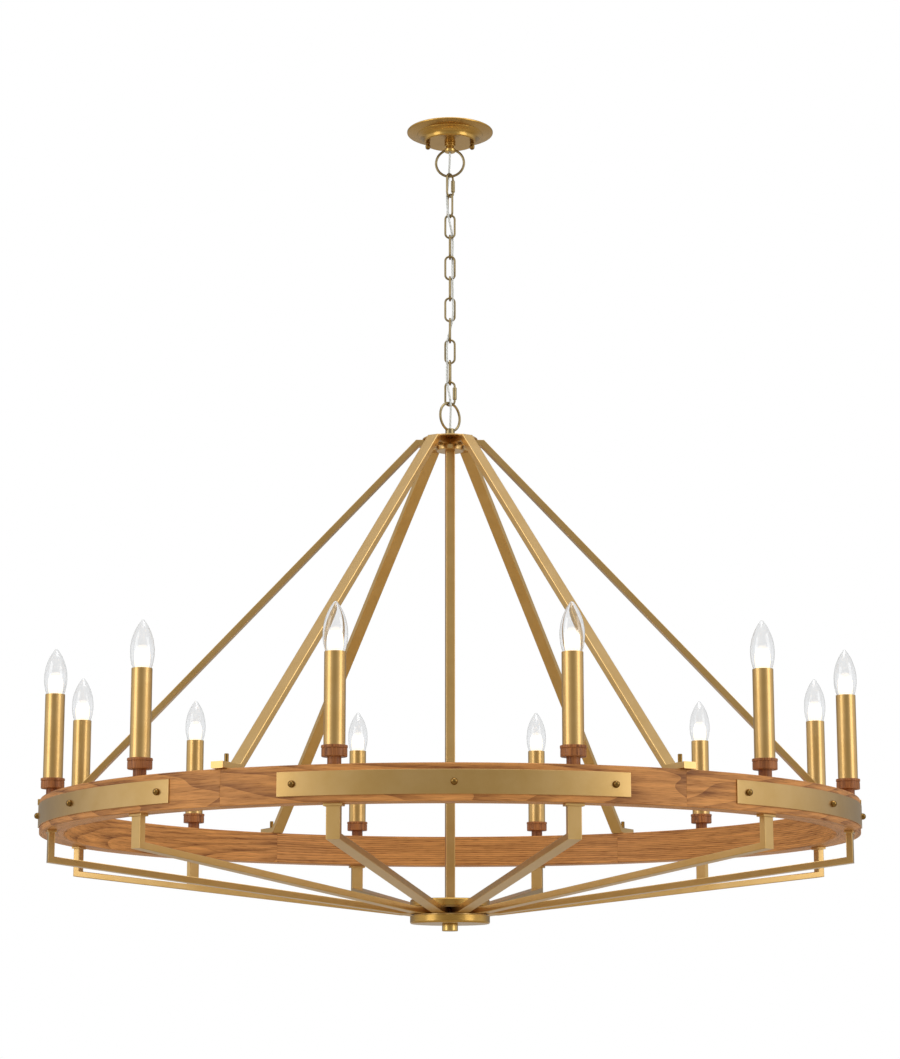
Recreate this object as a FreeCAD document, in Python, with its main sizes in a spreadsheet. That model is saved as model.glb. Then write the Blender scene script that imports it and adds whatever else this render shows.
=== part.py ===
import FreeCAD, Part
import math
import os
import re
import Sketcher

# A wagon wheel chandelier, in millimetres, +Z up.
# The origin is on the ceiling, at the middle of the crossbar's top face, and everything hangs below it.
# A canopy and a link chain carry a small hub. Six flat tubes slope from it to an oak ring of six
# segments, twelve candles stand on the ring, and twelve thinner tubes run from under the candles
# to a lower hub on the foot of the centre rod.
# Sizes ending in _z are heights. Sizes ending in _rise are counted up from the ring's top face.

SIZES = {
    # ceiling crossbar, its two canopy studs and the threaded nipple
    "crossbar_length": 104,
    "crossbar_width": 16,
    "crossbar_thick": 2,
    "box_screw_spacing": 88.9,
    "box_screw_hole": 2.4,
    "knob_spacing": 72,
    "stud_radius": 2,
    "stud_end_z": -27,
    "nipple_radius": 5,
    "nipple_bore": 3.5,
    "nipple_end_z": -26,
    "lock_nut_flat": 7,
    "lock_nut_thick": 4,
    # canopy, a spun dish
    "canopy_radius": 68.5,
    "canopy_top_z": -0.5,
    "canopy_lip_z": -3.8,
    "canopy_lip_round": 1.66,
    "canopy_skin": 1.2,
    "shelf_radius": 53,
    "shelf_z": -6,
    "shelf_round": 1.8,
    "cove_top_radius": 51.5,
    "cove_top_z": -7.5,
    "cove_round": 12,
    "cove_foot_radius": 42.5,
    "cove_foot_z": -18,
    "canopy_flat_radius": 40.5,
    "canopy_flat_z": -20,
    "canopy_edge_round": 2,
    "canopy_hole": 6.7,
    "knob_hole": 2.3,
    # ball knobs under the canopy
    "knob_ball": 4,
    "knob_neck": 2.7,
    "knob_flange": 3.6,
    "knob_z": -27,
    # screw collar and the loop that hangs through it
    "collar_radius": 9,
    "collar_end_z": -26.5,
    "collar_edge": 0.8,
    "loop_stem": 6.5,
    "loop_stem_top_z": -14,
    "loop_flange_top_z": -30.5,
    "loop_flange_end_z": -36,
    "cord_bore": 2.5,
    "loop_radius": 22.75,
    "loop_wire": 2,
    "canopy_loop_z": -54.4,
    "canopy_loop_turn": -6,
    # chain
    "chain_wire": 1.7,
    "link_half_width": 7.6,
    "link_half_length": 19.305,
    "chain_top_z": -73.15,
    "link_gap": 0.3,
    "quick_link_sleeve": 3.25,
    "quick_link_sleeve_length": 20,
    # supply cord
    "cord_radius": 1.6,
    "cord_top_z": -2,
    "cord_end_z": -517,
    # loop on the upper hub
    "hub_loop_z": -479.61,
    "hub_loop_turn": 47,
    "boss_radius": 7.5,
    "boss_top_z": -499.5,
    "boss_end_z": -511.5,
    "hub_stem": 5,
    "hub_stem_bore": 3,
    "hub_stem_end_z": -560,
    "hub_nut_flat": 7.2,
    # upper hub
    "top_plate_radius": 44,
    "top_plate_top_z": -516.5,
    "top_plate_end_z": -519,
    "top_plate_edge": 0.6,
    "drum_core": 16,
    "drum_radius": 22,
    "drum_top_z": -528.5,
    "drum_end_z": -536,
    "drum_edge": 1,
    "hub_screw_circle": 30,
    "hub_screw_shank": 1.75,
    "hub_screw_head": 3.3,
    "hub_screw_head_height": 2.4,
    "hub_screw_grip": 1.8,
    # upper arms, flat rectangular tube
    "arm_width": 19.5,
    "arm_thick": 9.5,
    "arm_wall": 1.2,
    "arm_start": 17.3,
    "arm_bend": 52,
    "arm_foot": 592.05,
    "arm_end": 638,
    "foot_stud_circle": 615,
    "foot_stud_radius": 3.1,
    "foot_stud_rise": 22,
    "foot_stud_end_rise": -29,
    # centre rod, square tube
    "rod_side": 14,
    "rod_wall": 1.2,
    "rod_turn": 10,
    # oak ring
    "ring_inner": 592.5,
    "ring_outer": 629.5,
    "ring_top_z": -1100.5,
    "ring_height": 51,
    "ring_edge": 1.2,
    # band plates and their screws
    "plate_thick": 2,
    "plate_height": 33,
    "plate_angle": 44,
    "plate_screw_step": 20,
    "plate_screw_shank": 2.2,
    "plate_screw_length": 25,
    "plate_screw_head": 4.9,
    "plate_screw_rim": 1.5,
    "plate_screw_rise": 6,
    "plate_screw_dome": 5,
    # candles
    "candle_circle": 615.5,
    "candle_count": 12,
    "cup_neck": 9.5,
    "cup_neck_rise": 10.5,
    "cup_foot": 16.6,
    "cup_band": 17.5,
    "cup_band_rise": 21,
    "cup_groove": 16.9,
    "cup_rim": 18,
    "cup_rim_rise": 22.2,
    "cup_top_rise": 26,
    "cup_recess": 15,
    "cup_recess_rise": 24,
    "post_clearance": 5.2,
    "sleeve_radius": 14.75,
    "sleeve_wall": 0.8,
    "sleeve_top_rise": 152.2,
    "post_top_rise": 108,
    "candle_nut_flat": 7,
    "socket_radius": 11.5,
    "socket_neck": 7.5,
    "socket_neck_rise": 100,
    "socket_foot_rise": 110,
    "socket_top_rise": 135,
    "socket_well": 6.3,
    "socket_well_rise": 117,
    # bulbs
    "bulb_base": 6,
    "bulb_contact": 3,
    "bulb_contact_rise": 117.6,
    "bulb_base_rise": 120,
    "bulb_neck_rise": 134.5,
    "bulb_throat": 13.2,
    "bulb_throat_rise": 152.2,
    "bulb_belly": 17.2,
    "bulb_belly_rise": 176.2,
    "bulb_lower_curve": 74,
    "bulb_upper_curve": 72.6,
    "bulb_shoulder": 2.5,
    "bulb_shoulder_rise": 220,
    "bulb_tip_round": 3.13,
    # lower arms
    "end_plate_length": 27,
    "end_plate_width": 14,
    "end_plate_thick": 4,
    "lower_arm_start": 37,
    "lower_arm_bend": 79.7,
    "lower_arm_bend_z": -1262.95,
    "lower_arm_corner_z": -1195.3,
    # lower hub
    "pan_radius": 61.5,
    "pan_skin": 1.5,
    "pan_edge": 3,
    "upper_pan_top_z": -1244.7,
    "upper_pan_rim_z": -1256,
    "lower_pan_rim_z": -1270,
    "lower_pan_end_z": -1282,
    "spool_flange": 56,
    "spool_flange_thick": 2,
    "spool_core": 12,
    "lower_stem": 5,
    "lower_stem_bore": 3,
    "lower_stem_top_z": -1225,
    "lower_stem_end_z": -1289,
    "finial_radius": 12.25,
    "finial_end_z": -1293,
    "finial_edge": 1.2,
}

# The direction of each link's plane, in degrees from +X. The links hang about a quarter turn apart.
LINK_TURNS = [50, 119, 2, 87, 0, 87, 0, 88, 0, 84, -8]
QUICK_LINKS = (1, 11)

# Where the supply cord passes each crossing of two links, from the canopy loop down to the hub loop.
CORD_AT_CROSSINGS = [
    (-1.9, 4.9),
    (-5.6, 0.9),
    (-3.3, -6.1),
    (5.2, 5.8),
    (3.9, 5.2),
    (3.9, -5.5),
    (4.6, -4.4),
    (5.3, -3.8),
    (-5.4, -3.9),
    (-4.6, -4.6),
    (-5.4, -4.6),
    (1.9, -5.4),
]

doc = FreeCAD.newDocument("wagon_wheel_chandelier")
sheet = doc.addObject("Spreadsheet::Sheet", "Sizes")
for row, (alias, size) in enumerate(SIZES.items(), 1):
    sheet.set(f"A{row}", alias)
    sheet.set(f"B{row}", str(size))
    sheet.setAlias(f"B{row}", alias)
doc.recompute()

NODES = []


def bound(text):
    """The expression with the name of every size pointed at the sheet."""
    return re.sub(r"[a-z][a-z_]*", lambda word: f"Sizes.{word[0]}" if word[0] in SIZES else word[0], text)


def value(text):
    """What an expression of sizes comes to."""
    found = sheet.evalExpression(text)
    return float(getattr(found, "Value", found))


def new_body(name, turn=None):
    """An empty body for one node, turned about Z by an expression of sizes in degrees."""
    body = doc.addObject("PartDesign::Body", name)
    body.Label = name
    body.AllowCompound = True
    if turn is not None:
        body.Placement.Rotation = FreeCAD.Rotation(FreeCAD.Vector(0, 0, 1), value(turn))
        body.setExpression("Placement.Rotation.Angle", bound(turn))
    NODES.append(body)
    return body


def origin_feature(body, role):
    return next(feature for feature in body.Origin.OriginFeatures if feature.Role == role)


def new_sketch(body, name, plane, shift=("0", "0", "0"), turn=0):
    """A sketch on a plane of the body's origin, shifted and then turned within that plane's own axes."""
    sketch = body.newObject("Sketcher::SketchObject", f"{body.Name}_{name}")
    sketch.AttachmentSupport = [(origin_feature(body, plane), "")]
    sketch.MapMode = "FlatFace"
    sketch.AttachmentOffset = FreeCAD.Placement(
        FreeCAD.Vector(*map(value, shift)), FreeCAD.Rotation(FreeCAD.Vector(0, 0, 1), turn)
    )
    for axis, text in zip("xyz", shift):
        if text != "0":
            sketch.setExpression(f"AttachmentOffset.Base.{axis}", bound(text))
    return sketch


def fix_size(sketch, kind, place, text):
    """A constraint whose size is an expression of the sheet's sizes."""
    index = sketch.addConstraint(Sketcher.Constraint(kind, *place, value(text)))
    sketch.setExpression(f"Constraints[{index}]", bound(text))


def fix_point(sketch, piece, end, x, y):
    for kind, axis, text in (("DistanceX", -2, x), ("DistanceY", -1, y)):
        if value(text) == 0:
            sketch.addConstraint(Sketcher.Constraint("PointOnObject", piece, end, axis))
        else:
            fix_size(sketch, kind, (-1, 1, piece, end), text)


def arc_between(start, end, radius, left):
    """The shorter arc from start to end. Its centre is on the left of the way from start to end, or on the right."""
    way = end - start
    side = FreeCAD.Vector(-way.y, way.x, 0).normalize()
    reach = math.sqrt(max(radius**2 - (way.Length / 2) ** 2, 0))
    centre = start + way * 0.5 + side * (reach if left else -reach)
    angles = [math.atan2(point.y - centre.y, point.x - centre.x) for point in (start, end)]
    if not left:
        angles.reverse()
    return Part.ArcOfCircle(Part.Circle(centre, FreeCAD.Vector(0, 0, 1), radius), *angles)


def draw(sketch, points, closed=True):
    """Lines and arcs through points of the sheet's sizes.

    A point is (x, y), or (x, y, bend) where an arc leads to it. The bend is + or - and the radius:
    with + the arc turns left on its way there, and with - it turns right.
    """
    spots = [FreeCAD.Vector(value(point[0]), value(point[1]), 0) for point in points]
    count = len(points)
    ends = []
    for i in range(count if closed else count - 1):
        target = points[(i + 1) % count]
        start, end = spots[i], spots[(i + 1) % count]
        if len(target) == 2:
            piece = sketch.addGeometry(Part.LineSegment(start, end), False)
            ends.append((piece, 1, 2))
        else:
            left = target[2][0] == "+"
            radius = target[2][1:]
            piece = sketch.addGeometry(arc_between(start, end, value(radius), left), False)
            ends.append((piece, 1, 2) if left else (piece, 2, 1))
            fix_size(sketch, "Radius", (piece,), radius)
    for before, after in zip(ends, ends[1:] + ends[:1] if closed else ends[1:]):
        sketch.addConstraint(Sketcher.Constraint("Coincident", before[0], before[2], after[0], after[1]))
    for point, (piece, start, _) in zip(points, ends):
        fix_point(sketch, piece, start, point[0], point[1])
    if not closed:
        fix_point(sketch, ends[-1][0], ends[-1][2], points[-1][0], points[-1][1])
    return sketch


def draw_circle(sketch, x, y, radius):
    where = FreeCAD.Vector(value(x), value(y), 0)
    piece = sketch.addGeometry(Part.Circle(where, FreeCAD.Vector(0, 0, 1), value(radius)), False)
    fix_point(sketch, piece, 3, x, y)
    fix_size(sketch, "Radius", (piece,), radius)
    return sketch


def draw_box(sketch, width, height, middle_x="0", middle_y="0"):
    """A rectangle about a middle point."""
    left, right = f"{middle_x} - ({width}) / 2", f"{middle_x} + ({width}) / 2"
    low, high = f"{middle_y} - ({height}) / 2", f"{middle_y} + ({height}) / 2"
    return draw(sketch, [(left, low), (right, low), (right, high), (left, high)])


def draw_hexagon(sketch, flat, middle_x="0"):
    """A hexagon with the half width across flats given, about a point on the X axis."""
    corners = []
    for k in range(6):
        across = f"{middle_x} + {flat} / cos(30) * cos({60 * k})"
        up = f"{flat} / cos(30) * sin({60 * k})" if k % 3 else "0"
        corners.append((across, up))
    return draw(sketch, corners)


def cuts(feature):
    """The feature, once it has been found to take something away."""
    doc.recompute()
    before = feature.BaseFeature.Shape.Volume
    if not feature.Shape.Volume < before - 0.1:
        raise RuntimeError(f"{feature.Name} cuts nothing")
    return feature


def turned(body, name, sketch, axis=None, angle=360):
    """Material swept round an axis: the body's Z, or the sketch's own H_Axis or V_Axis."""
    feature = body.newObject("PartDesign::Revolution", f"{body.Name}_{name}")
    feature.Profile = sketch
    feature.ReferenceAxis = (sketch, [axis]) if axis else (origin_feature(body, "Z_Axis"), [""])
    feature.Angle = angle
    feature.Midplane = angle != 360
    return feature


def turned_away(body, name, sketch, axis=None):
    """The same round cut."""
    feature = body.newObject("PartDesign::Groove", f"{body.Name}_{name}")
    feature.Profile = sketch
    feature.ReferenceAxis = (sketch, [axis]) if axis else (origin_feature(body, "Z_Axis"), [""])
    feature.Angle = 360
    return cuts(feature)


def padded(body, name, sketch, length, down=False):
    feature = body.newObject("PartDesign::Pad", f"{body.Name}_{name}")
    feature.Profile = sketch
    feature.setExpression("Length", bound(length))
    feature.Reversed = down
    return feature


def drilled(body, name, sketch, depth=None, up=False):
    """Holes cut from the sketch's plane along Z, right through where no depth is given."""
    feature = body.newObject("PartDesign::Pocket", f"{body.Name}_{name}")
    feature.Profile = sketch
    feature.Reversed = up
    if depth is None:
        feature.Type = "ThroughAll"
    else:
        feature.setExpression("Length", bound(depth))
    return cuts(feature)


def repeated(body, features, count, angle=360):
    """The features repeated round Z."""
    pattern = body.newObject("PartDesign::PolarPattern", f"{body.Name}_round_{count}")
    pattern.Originals = features
    pattern.Axis = (origin_feature(body, "Z_Axis"), [""])
    if isinstance(angle, str):
        pattern.setExpression("Angle", bound(angle))
    else:
        pattern.Angle = angle
    pattern.Occurrences = count
    body.Tip = pattern
    return pattern


def swept(body, name, section, line, cut=False):
    """A section carried along a line, with mitred corners."""
    kind = "PartDesign::SubtractivePipe" if cut else "PartDesign::AdditivePipe"
    feature = body.newObject(kind, f"{body.Name}_{name}")
    feature.Profile = section
    feature.Spine = (line, [])
    feature.Transition = "Right corner"
    return cuts(feature) if cut else feature


def tube(body, width, height, wall, start, start_z, outer, inner):
    """A rectangular tube along a radial line. Its bore follows a line of its own, so it can stop short."""
    line = draw(new_sketch(body, "line", "XZ_Plane"), outer, closed=False)
    section = new_sketch(body, "section", "YZ_Plane", ("0", start_z, start))
    swept(body, "tube", draw_box(section, width, height), line)
    bore_line = draw(new_sketch(body, "bore_line", "XZ_Plane"), inner, closed=False)
    bore = new_sketch(body, "bore_section", "YZ_Plane", ("0", start_z, start))
    swept(body, "bore", draw_box(bore, f"{width} - 2 * {wall}", f"{height} - 2 * {wall}"), bore_line, cut=True)


# ---- ceiling fixing and canopy ----

def make_crossbar():
    """A flat bar with rounded ends. Its outer holes take the screws of the ceiling box."""
    body = new_body("ceiling_crossbar")
    sketch = new_sketch(body, "outline", "XY_Plane")
    straight = "(crossbar_length / 2 - crossbar_width / 2)"
    draw(sketch, [
        (straight, "-crossbar_width / 2"),
        ("crossbar_length / 2", "0", "+crossbar_width / 2"),
        (straight, "crossbar_width / 2", "+crossbar_width / 2"),
        (f"-{straight}", "crossbar_width / 2"),
        ("-crossbar_length / 2", "0", "+crossbar_width / 2"),
        (f"-{straight}", "-crossbar_width / 2", "+crossbar_width / 2"),
    ])
    for sign in "-", "":
        draw_circle(sketch, f"{sign}box_screw_spacing / 2", "0", "box_screw_hole")
        draw_circle(sketch, f"{sign}knob_spacing / 2", "0", "stud_radius")
    draw_circle(sketch, "0", "0", "nipple_radius")
    padded(body, "bar", sketch, "crossbar_thick", down=True)


def make_studs():
    """Two threaded studs through the bar, for the canopy's knobs."""
    body = new_body("canopy_studs")
    sketch = new_sketch(body, "rounds", "XY_Plane")
    for sign in "-", "":
        draw_circle(sketch, f"{sign}knob_spacing / 2", "0", "stud_radius")
    padded(body, "rods", sketch, "-stud_end_z", down=True)


def make_nipple():
    """The threaded tube that carries the fixture, locked to the bar by a nut."""
    body = new_body("canopy_nipple")
    sketch = new_sketch(body, "tube", "XY_Plane")
    draw_circle(sketch, "0", "0", "nipple_radius")
    draw_circle(sketch, "0", "0", "nipple_bore")
    padded(body, "tube_wall", sketch, "-nipple_end_z", down=True)
    nut = new_sketch(body, "nut", "XY_Plane", ("0", "0", "-crossbar_thick"))
    draw_hexagon(nut, "lock_nut_flat")
    draw_circle(nut, "0", "0", "nipple_radius")
    padded(body, "lock_nut", nut, "lock_nut_thick", down=True)


def make_canopy():
    """A spun dish: rolled lip, nearly flat shelf, cove and flat bottom, one even skin."""
    body = new_body("canopy")
    sketch = new_sketch(body, "profile", "XZ_Plane")
    draw(sketch, [
        ("canopy_hole", "canopy_flat_z"),
        ("canopy_flat_radius", "canopy_flat_z"),
        ("cove_foot_radius", "cove_foot_z", "+canopy_edge_round"),
        ("cove_top_radius", "cove_top_z", "-cove_round"),
        ("shelf_radius", "shelf_z", "-shelf_round"),
        ("canopy_radius", "canopy_lip_z"),
        ("canopy_radius", "canopy_top_z", "+canopy_lip_round"),
        ("canopy_radius - 0.2", "canopy_top_z"),
        ("canopy_radius - 0.2", "canopy_lip_z + canopy_skin"),
        ("shelf_radius - 0.1", "shelf_z + canopy_skin"),
        ("cove_top_radius - canopy_skin", "cove_top_z + 0.1", "+shelf_round + canopy_skin"),
        ("cove_foot_radius - canopy_skin + 0.1", "cove_foot_z + 0.1", "+cove_round + canopy_skin"),
        ("canopy_flat_radius - 0.1", "canopy_flat_z + canopy_skin", "-canopy_edge_round - canopy_skin"),
        ("canopy_hole", "canopy_flat_z + canopy_skin"),
    ])
    turned(body, "dish", sketch)
    holes = new_sketch(body, "knob_holes", "XY_Plane")
    for sign in "-", "":
        draw_circle(holes, f"{sign}knob_spacing / 2", "0", "knob_hole")
    drilled(body, "knob_holes", holes)


def make_knobs():
    """Ball knobs, blind threaded, that hold the canopy up."""
    body = new_body("canopy_knobs")
    sketch = new_sketch(body, "profile", "XZ_Plane", ("knob_spacing / 2", "0", "0"))
    draw(sketch, [
        ("stud_radius", "canopy_flat_z"),
        ("stud_radius", "stud_end_z"),
        ("0", "stud_end_z"),
        ("0", "knob_z - knob_ball"),
        ("knob_ball", "knob_z", "+knob_ball"),
        ("knob_neck", "knob_z + sqrt(knob_ball^2 - knob_neck^2)", "+knob_ball"),
        ("knob_neck", "canopy_flat_z - 1"),
        ("knob_flange", "canopy_flat_z - 1"),
        ("knob_flange", "canopy_flat_z"),
    ])
    knob = turned(body, "knob", sketch, "V_Axis")
    repeated(body, [knob], 2)


def make_collar():
    """The ring nut that runs up the loop's stem and clamps the canopy."""
    body = new_body("screw_collar")
    sketch = new_sketch(body, "profile", "XZ_Plane")
    draw(sketch, [
        ("loop_stem", "canopy_flat_z"),
        ("loop_stem", "collar_end_z"),
        ("collar_radius - collar_edge", "collar_end_z"),
        ("collar_radius", "collar_end_z + collar_edge", "+collar_edge"),
        ("collar_radius", "canopy_flat_z - collar_edge"),
        ("collar_radius - collar_edge", "canopy_flat_z", "+collar_edge"),
    ])
    turned(body, "ring", sketch)


def add_loop(body, middle_z):
    """A ring of round wire that stands upright in the body's XZ plane."""
    wire = new_sketch(body, "wire", "YZ_Plane", ("0", middle_z, "0"))
    draw_circle(wire, "0", "loop_radius", "loop_wire")
    turned(body, "loop", wire, "H_Axis")


def make_canopy_loop():
    """Loop, flange and threaded stem in one casting, bored for the nipple and the supply cord."""
    body = new_body("canopy_loop", "canopy_loop_turn")
    add_loop(body, "canopy_loop_z")
    stem = new_sketch(body, "stem", "XZ_Plane")
    draw(stem, [
        ("0", "loop_flange_end_z"),
        ("collar_radius - 1.5", "loop_flange_end_z"),
        ("collar_radius", "loop_flange_end_z + 1.5", "+1.5"),
        ("collar_radius", "loop_flange_top_z"),
        ("loop_stem", "loop_flange_top_z"),
        ("loop_stem", "loop_stem_top_z"),
        ("0", "loop_stem_top_z"),
    ])
    turned(body, "stem_turned", stem)
    bore = new_sketch(body, "bore", "XZ_Plane")
    draw(bore, [
        ("0", "loop_flange_end_z - 1"),
        ("cord_bore", "loop_flange_end_z - 1"),
        ("cord_bore", "nipple_end_z"),
        ("nipple_radius", "nipple_end_z"),
        ("nipple_radius", "loop_stem_top_z + 1"),
        ("0", "loop_stem_top_z + 1"),
    ])
    turned_away(body, "bore_turned", bore)


# ---- chain and supply cord ----

def make_chain_link(number, turn):
    """An oval link of round wire. The first and last are quick links with a threaded sleeve on one side."""
    body = new_body(f"chain_link_{number:02d}")
    body.Placement.Rotation = FreeCAD.Rotation(FreeCAD.Vector(0, 0, 1), turn)
    step = "(2 * (link_half_length - chain_wire) - link_gap)"
    body.setExpression("Placement.Base.z", bound(f"chain_top_z - link_half_length - {number - 1} * {step}"))
    side = "(link_half_length - link_half_width)"
    line = new_sketch(body, "line", "XZ_Plane")
    draw(line, [
        ("link_half_width", f"-{side}", "+link_half_width"),
        ("link_half_width", side),
        ("0", "link_half_length", "+link_half_width"),
        ("-link_half_width", side, "+link_half_width"),
        ("-link_half_width", f"-{side}"),
        ("0", "-link_half_length", "+link_half_width"),
    ])
    section = new_sketch(body, "section", "XY_Plane", ("0", "0", f"-{side}"))
    draw_circle(section, "link_half_width", "0", "chain_wire")
    swept(body, "wire", section, line)
    if number in QUICK_LINKS:
        sleeve = new_sketch(body, "sleeve", "XY_Plane", ("0", "0", "-quick_link_sleeve_length / 2"))
        draw_circle(sleeve, "link_half_width", "0", "quick_link_sleeve")
        draw_circle(sleeve, "link_half_width", "0", "chain_wire")
        padded(body, "sleeve_pad", sleeve, "quick_link_sleeve_length")


def supply_cord_line():
    """The cord's middle line. It crosses from side to side through the chain, in straight runs and wide arcs."""
    pitch = 2 * (value("link_half_length") - value("chain_wire")) - value("link_gap")
    first = value("chain_top_z") - value("loop_wire")
    corners = [FreeCAD.Vector(0, 0, value("cord_top_z")), FreeCAD.Vector(0, 0, value("loop_flange_end_z - 8"))]
    for k, (x, y) in enumerate(CORD_AT_CROSSINGS):
        corners.append(FreeCAD.Vector(x, y, first - k * pitch))
    corners.append(FreeCAD.Vector(0.3, -0.6, value("boss_top_z + 12.5")))
    corners.append(FreeCAD.Vector(0, 0, value("cord_end_z")))
    edges = []
    radii = []
    reached = corners[0]
    for before, corner, after in zip(corners, corners[1:], corners[2:]):
        way_in = (corner - before).normalize()
        way_out = (after - corner).normalize()
        half_turn = way_in.getAngle(way_out) / 2
        cut_back = 0.45 * min((corner - before).Length, (after - corner).Length)
        radius = cut_back / math.tan(half_turn)
        arc_start = corner - way_in * cut_back
        arc_end = corner + way_out * cut_back
        inward = (way_out - way_in).normalize()
        middle = corner + inward * (radius / math.cos(half_turn) - radius)
        edges.append(Part.LineSegment(reached, arc_start).toShape())
        edges.append(Part.Arc(arc_start, middle, arc_end).toShape())
        radii.append(round(radius))
        reached = arc_end
    edges.append(Part.LineSegment(reached, corners[-1]).toShape())
    print("cord radii", radii)
    return Part.Wire(edges)


def make_supply_cord():
    """The round supply cord, from the nipple to the upper hub."""
    line = supply_cord_line()
    radius = value("cord_radius")
    ring = Part.Circle(FreeCAD.Vector(0, 0, value("cord_top_z")), FreeCAD.Vector(0, 0, -1), radius)
    shape = line.makePipeShell([Part.Wire(ring.toShape())], True, False)
    expected = math.pi * radius**2 * line.Length
    if abs(shape.Volume / expected - 1) > 0.002:
        raise RuntimeError("the cord's volume is not its section times its length")
    print(f"cord length {line.Length:.1f}, volume {shape.Volume:.0f} for {expected:.0f}")
    cord = doc.addObject("Part::Feature", "supply_cord")
    cord.Label = "supply_cord"
    cord.Shape = shape
    NODES.append(cord)


# ---- upper hub ----

def make_hub_loop():
    """The loop on top of the hub, cast in one with its boss and a hollow threaded stem."""
    body = new_body("hub_loop", "hub_loop_turn")
    add_loop(body, "hub_loop_z")
    boss = new_sketch(body, "boss", "XZ_Plane")
    draw(boss, [
        ("0", "hub_stem_end_z"),
        ("hub_stem", "hub_stem_end_z"),
        ("hub_stem", "boss_end_z"),
        ("boss_radius", "boss_end_z"),
        ("boss_radius", "boss_top_z - 1"),
        ("boss_radius - 1", "boss_top_z", "+1"),
        ("0", "boss_top_z"),
    ])
    turned(body, "boss_turned", boss)
    bore = new_sketch(body, "bore", "XZ_Plane")
    draw(bore, [
        ("0", "hub_stem_end_z - 1"),
        ("hub_stem_bore", "hub_stem_end_z - 1"),
        ("hub_stem_bore", "boss_top_z + 1"),
        ("0", "boss_top_z + 1"),
    ])
    turned_away(body, "bore_turned", bore)


def make_hub_nut():
    body = new_body("hub_loop_nut")
    sketch = new_sketch(body, "outline", "XY_Plane", ("0", "0", "boss_end_z"))
    draw_hexagon(sketch, "hub_nut_flat")
    draw_circle(sketch, "0", "0", "hub_stem")
    padded(body, "nut", sketch, "boss_end_z - top_plate_top_z", down=True)


def make_top_plate():
    """The round plate over the arm stubs, with a blind hole under it for each arm's screw."""
    body = new_body("hub_top_plate")
    sketch = new_sketch(body, "profile", "XZ_Plane")
    draw(sketch, [
        ("hub_stem + 0.1", "top_plate_end_z"),
        ("top_plate_radius - top_plate_edge", "top_plate_end_z"),
        ("top_plate_radius", "top_plate_end_z + top_plate_edge", "+top_plate_edge"),
        ("top_plate_radius", "top_plate_top_z - top_plate_edge"),
        ("top_plate_radius - top_plate_edge", "top_plate_top_z", "+top_plate_edge"),
        ("hub_stem + 0.1", "top_plate_top_z"),
    ])
    turned(body, "plate", sketch)
    hole = new_sketch(body, "screw_hole", "XY_Plane", ("0", "0", "top_plate_end_z"))
    draw_circle(hole, "hub_screw_circle", "0", "hub_screw_shank")
    repeated(body, [drilled(body, "screw_hole", hole, "hub_screw_grip", up=True)], 6)


def make_hub_drum():
    """The drum under the stubs, with a narrower core that reaches up between them to the plate."""
    body = new_body("hub_drum")
    sketch = new_sketch(body, "profile", "XZ_Plane")
    draw(sketch, [
        ("hub_stem + 0.1", "drum_end_z"),
        ("drum_radius - drum_edge", "drum_end_z"),
        ("drum_radius", "drum_end_z + drum_edge", "+drum_edge"),
        ("drum_radius", "drum_top_z"),
        ("drum_core", "drum_top_z"),
        ("drum_core", "top_plate_end_z"),
        ("hub_stem + 0.1", "top_plate_end_z"),
    ])
    turned(body, "drum", sketch)


def make_upper_arm(number):
    """A flat tube: a stub under the top plate, a long slope, and a foot on the ring closed at its end."""
    body = new_body(f"upper_arm_{number}", f"{60 * (number - 1)}")
    stub_z = "top_plate_end_z - arm_thick / 2"
    foot_z = "ring_top_z + arm_thick / 2"
    way = [("arm_start", stub_z), ("arm_bend", stub_z), ("arm_foot", foot_z)]
    tube(body, "arm_width", "arm_thick", "arm_wall", "arm_start", stub_z,
         way + [("arm_end", foot_z)], way + [("arm_end - arm_wall", foot_z)])
    holes = new_sketch(body, "holes", "XY_Plane")
    draw_circle(holes, "hub_screw_circle", "0", "hub_screw_shank")
    draw_circle(holes, "foot_stud_circle", "0", "foot_stud_radius")
    drilled(body, "holes", holes)


def make_arm_bolts():
    """A stud down through each arm's foot into the ring, and a screw up through each stub."""
    body = new_body("arm_bolts")
    stud = new_sketch(body, "stud", "XZ_Plane", ("foot_stud_circle", "ring_top_z", "0"))
    draw(stud, [
        ("0", "foot_stud_end_rise"),
        ("foot_stud_radius", "foot_stud_end_rise"),
        ("foot_stud_radius", "foot_stud_rise - 1"),
        ("foot_stud_radius - 1", "foot_stud_rise", "+1"),
        ("0", "foot_stud_rise"),
    ])
    screw = new_sketch(body, "screw", "XZ_Plane", ("hub_screw_circle", "drum_top_z", "0"))
    draw(screw, [
        ("0", "-hub_screw_head_height"),
        ("hub_screw_head - 1", "-hub_screw_head_height"),
        ("hub_screw_head", "1 - hub_screw_head_height", "+1"),
        ("hub_screw_head", "0"),
        ("hub_screw_shank", "0"),
        ("hub_screw_shank", "arm_thick + hub_screw_grip"),
        ("0", "arm_thick + hub_screw_grip"),
    ])
    both = [turned(body, "stud_turned", stud, "V_Axis"), turned(body, "screw_turned", screw, "V_Axis")]
    repeated(body, both, 6)


def make_centre_rod():
    """The square tube that joins the two hubs."""
    body = new_body("centre_rod", "rod_turn")
    sketch = new_sketch(body, "section", "XY_Plane", ("0", "0", "drum_end_z"))
    draw_box(sketch, "rod_side", "rod_side")
    draw_box(sketch, "rod_side - 2 * rod_wall", "rod_side - 2 * rod_wall")
    padded(body, "tube", sketch, "drum_end_z - upper_pan_top_z", down=True)


# ---- oak ring ----

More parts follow.
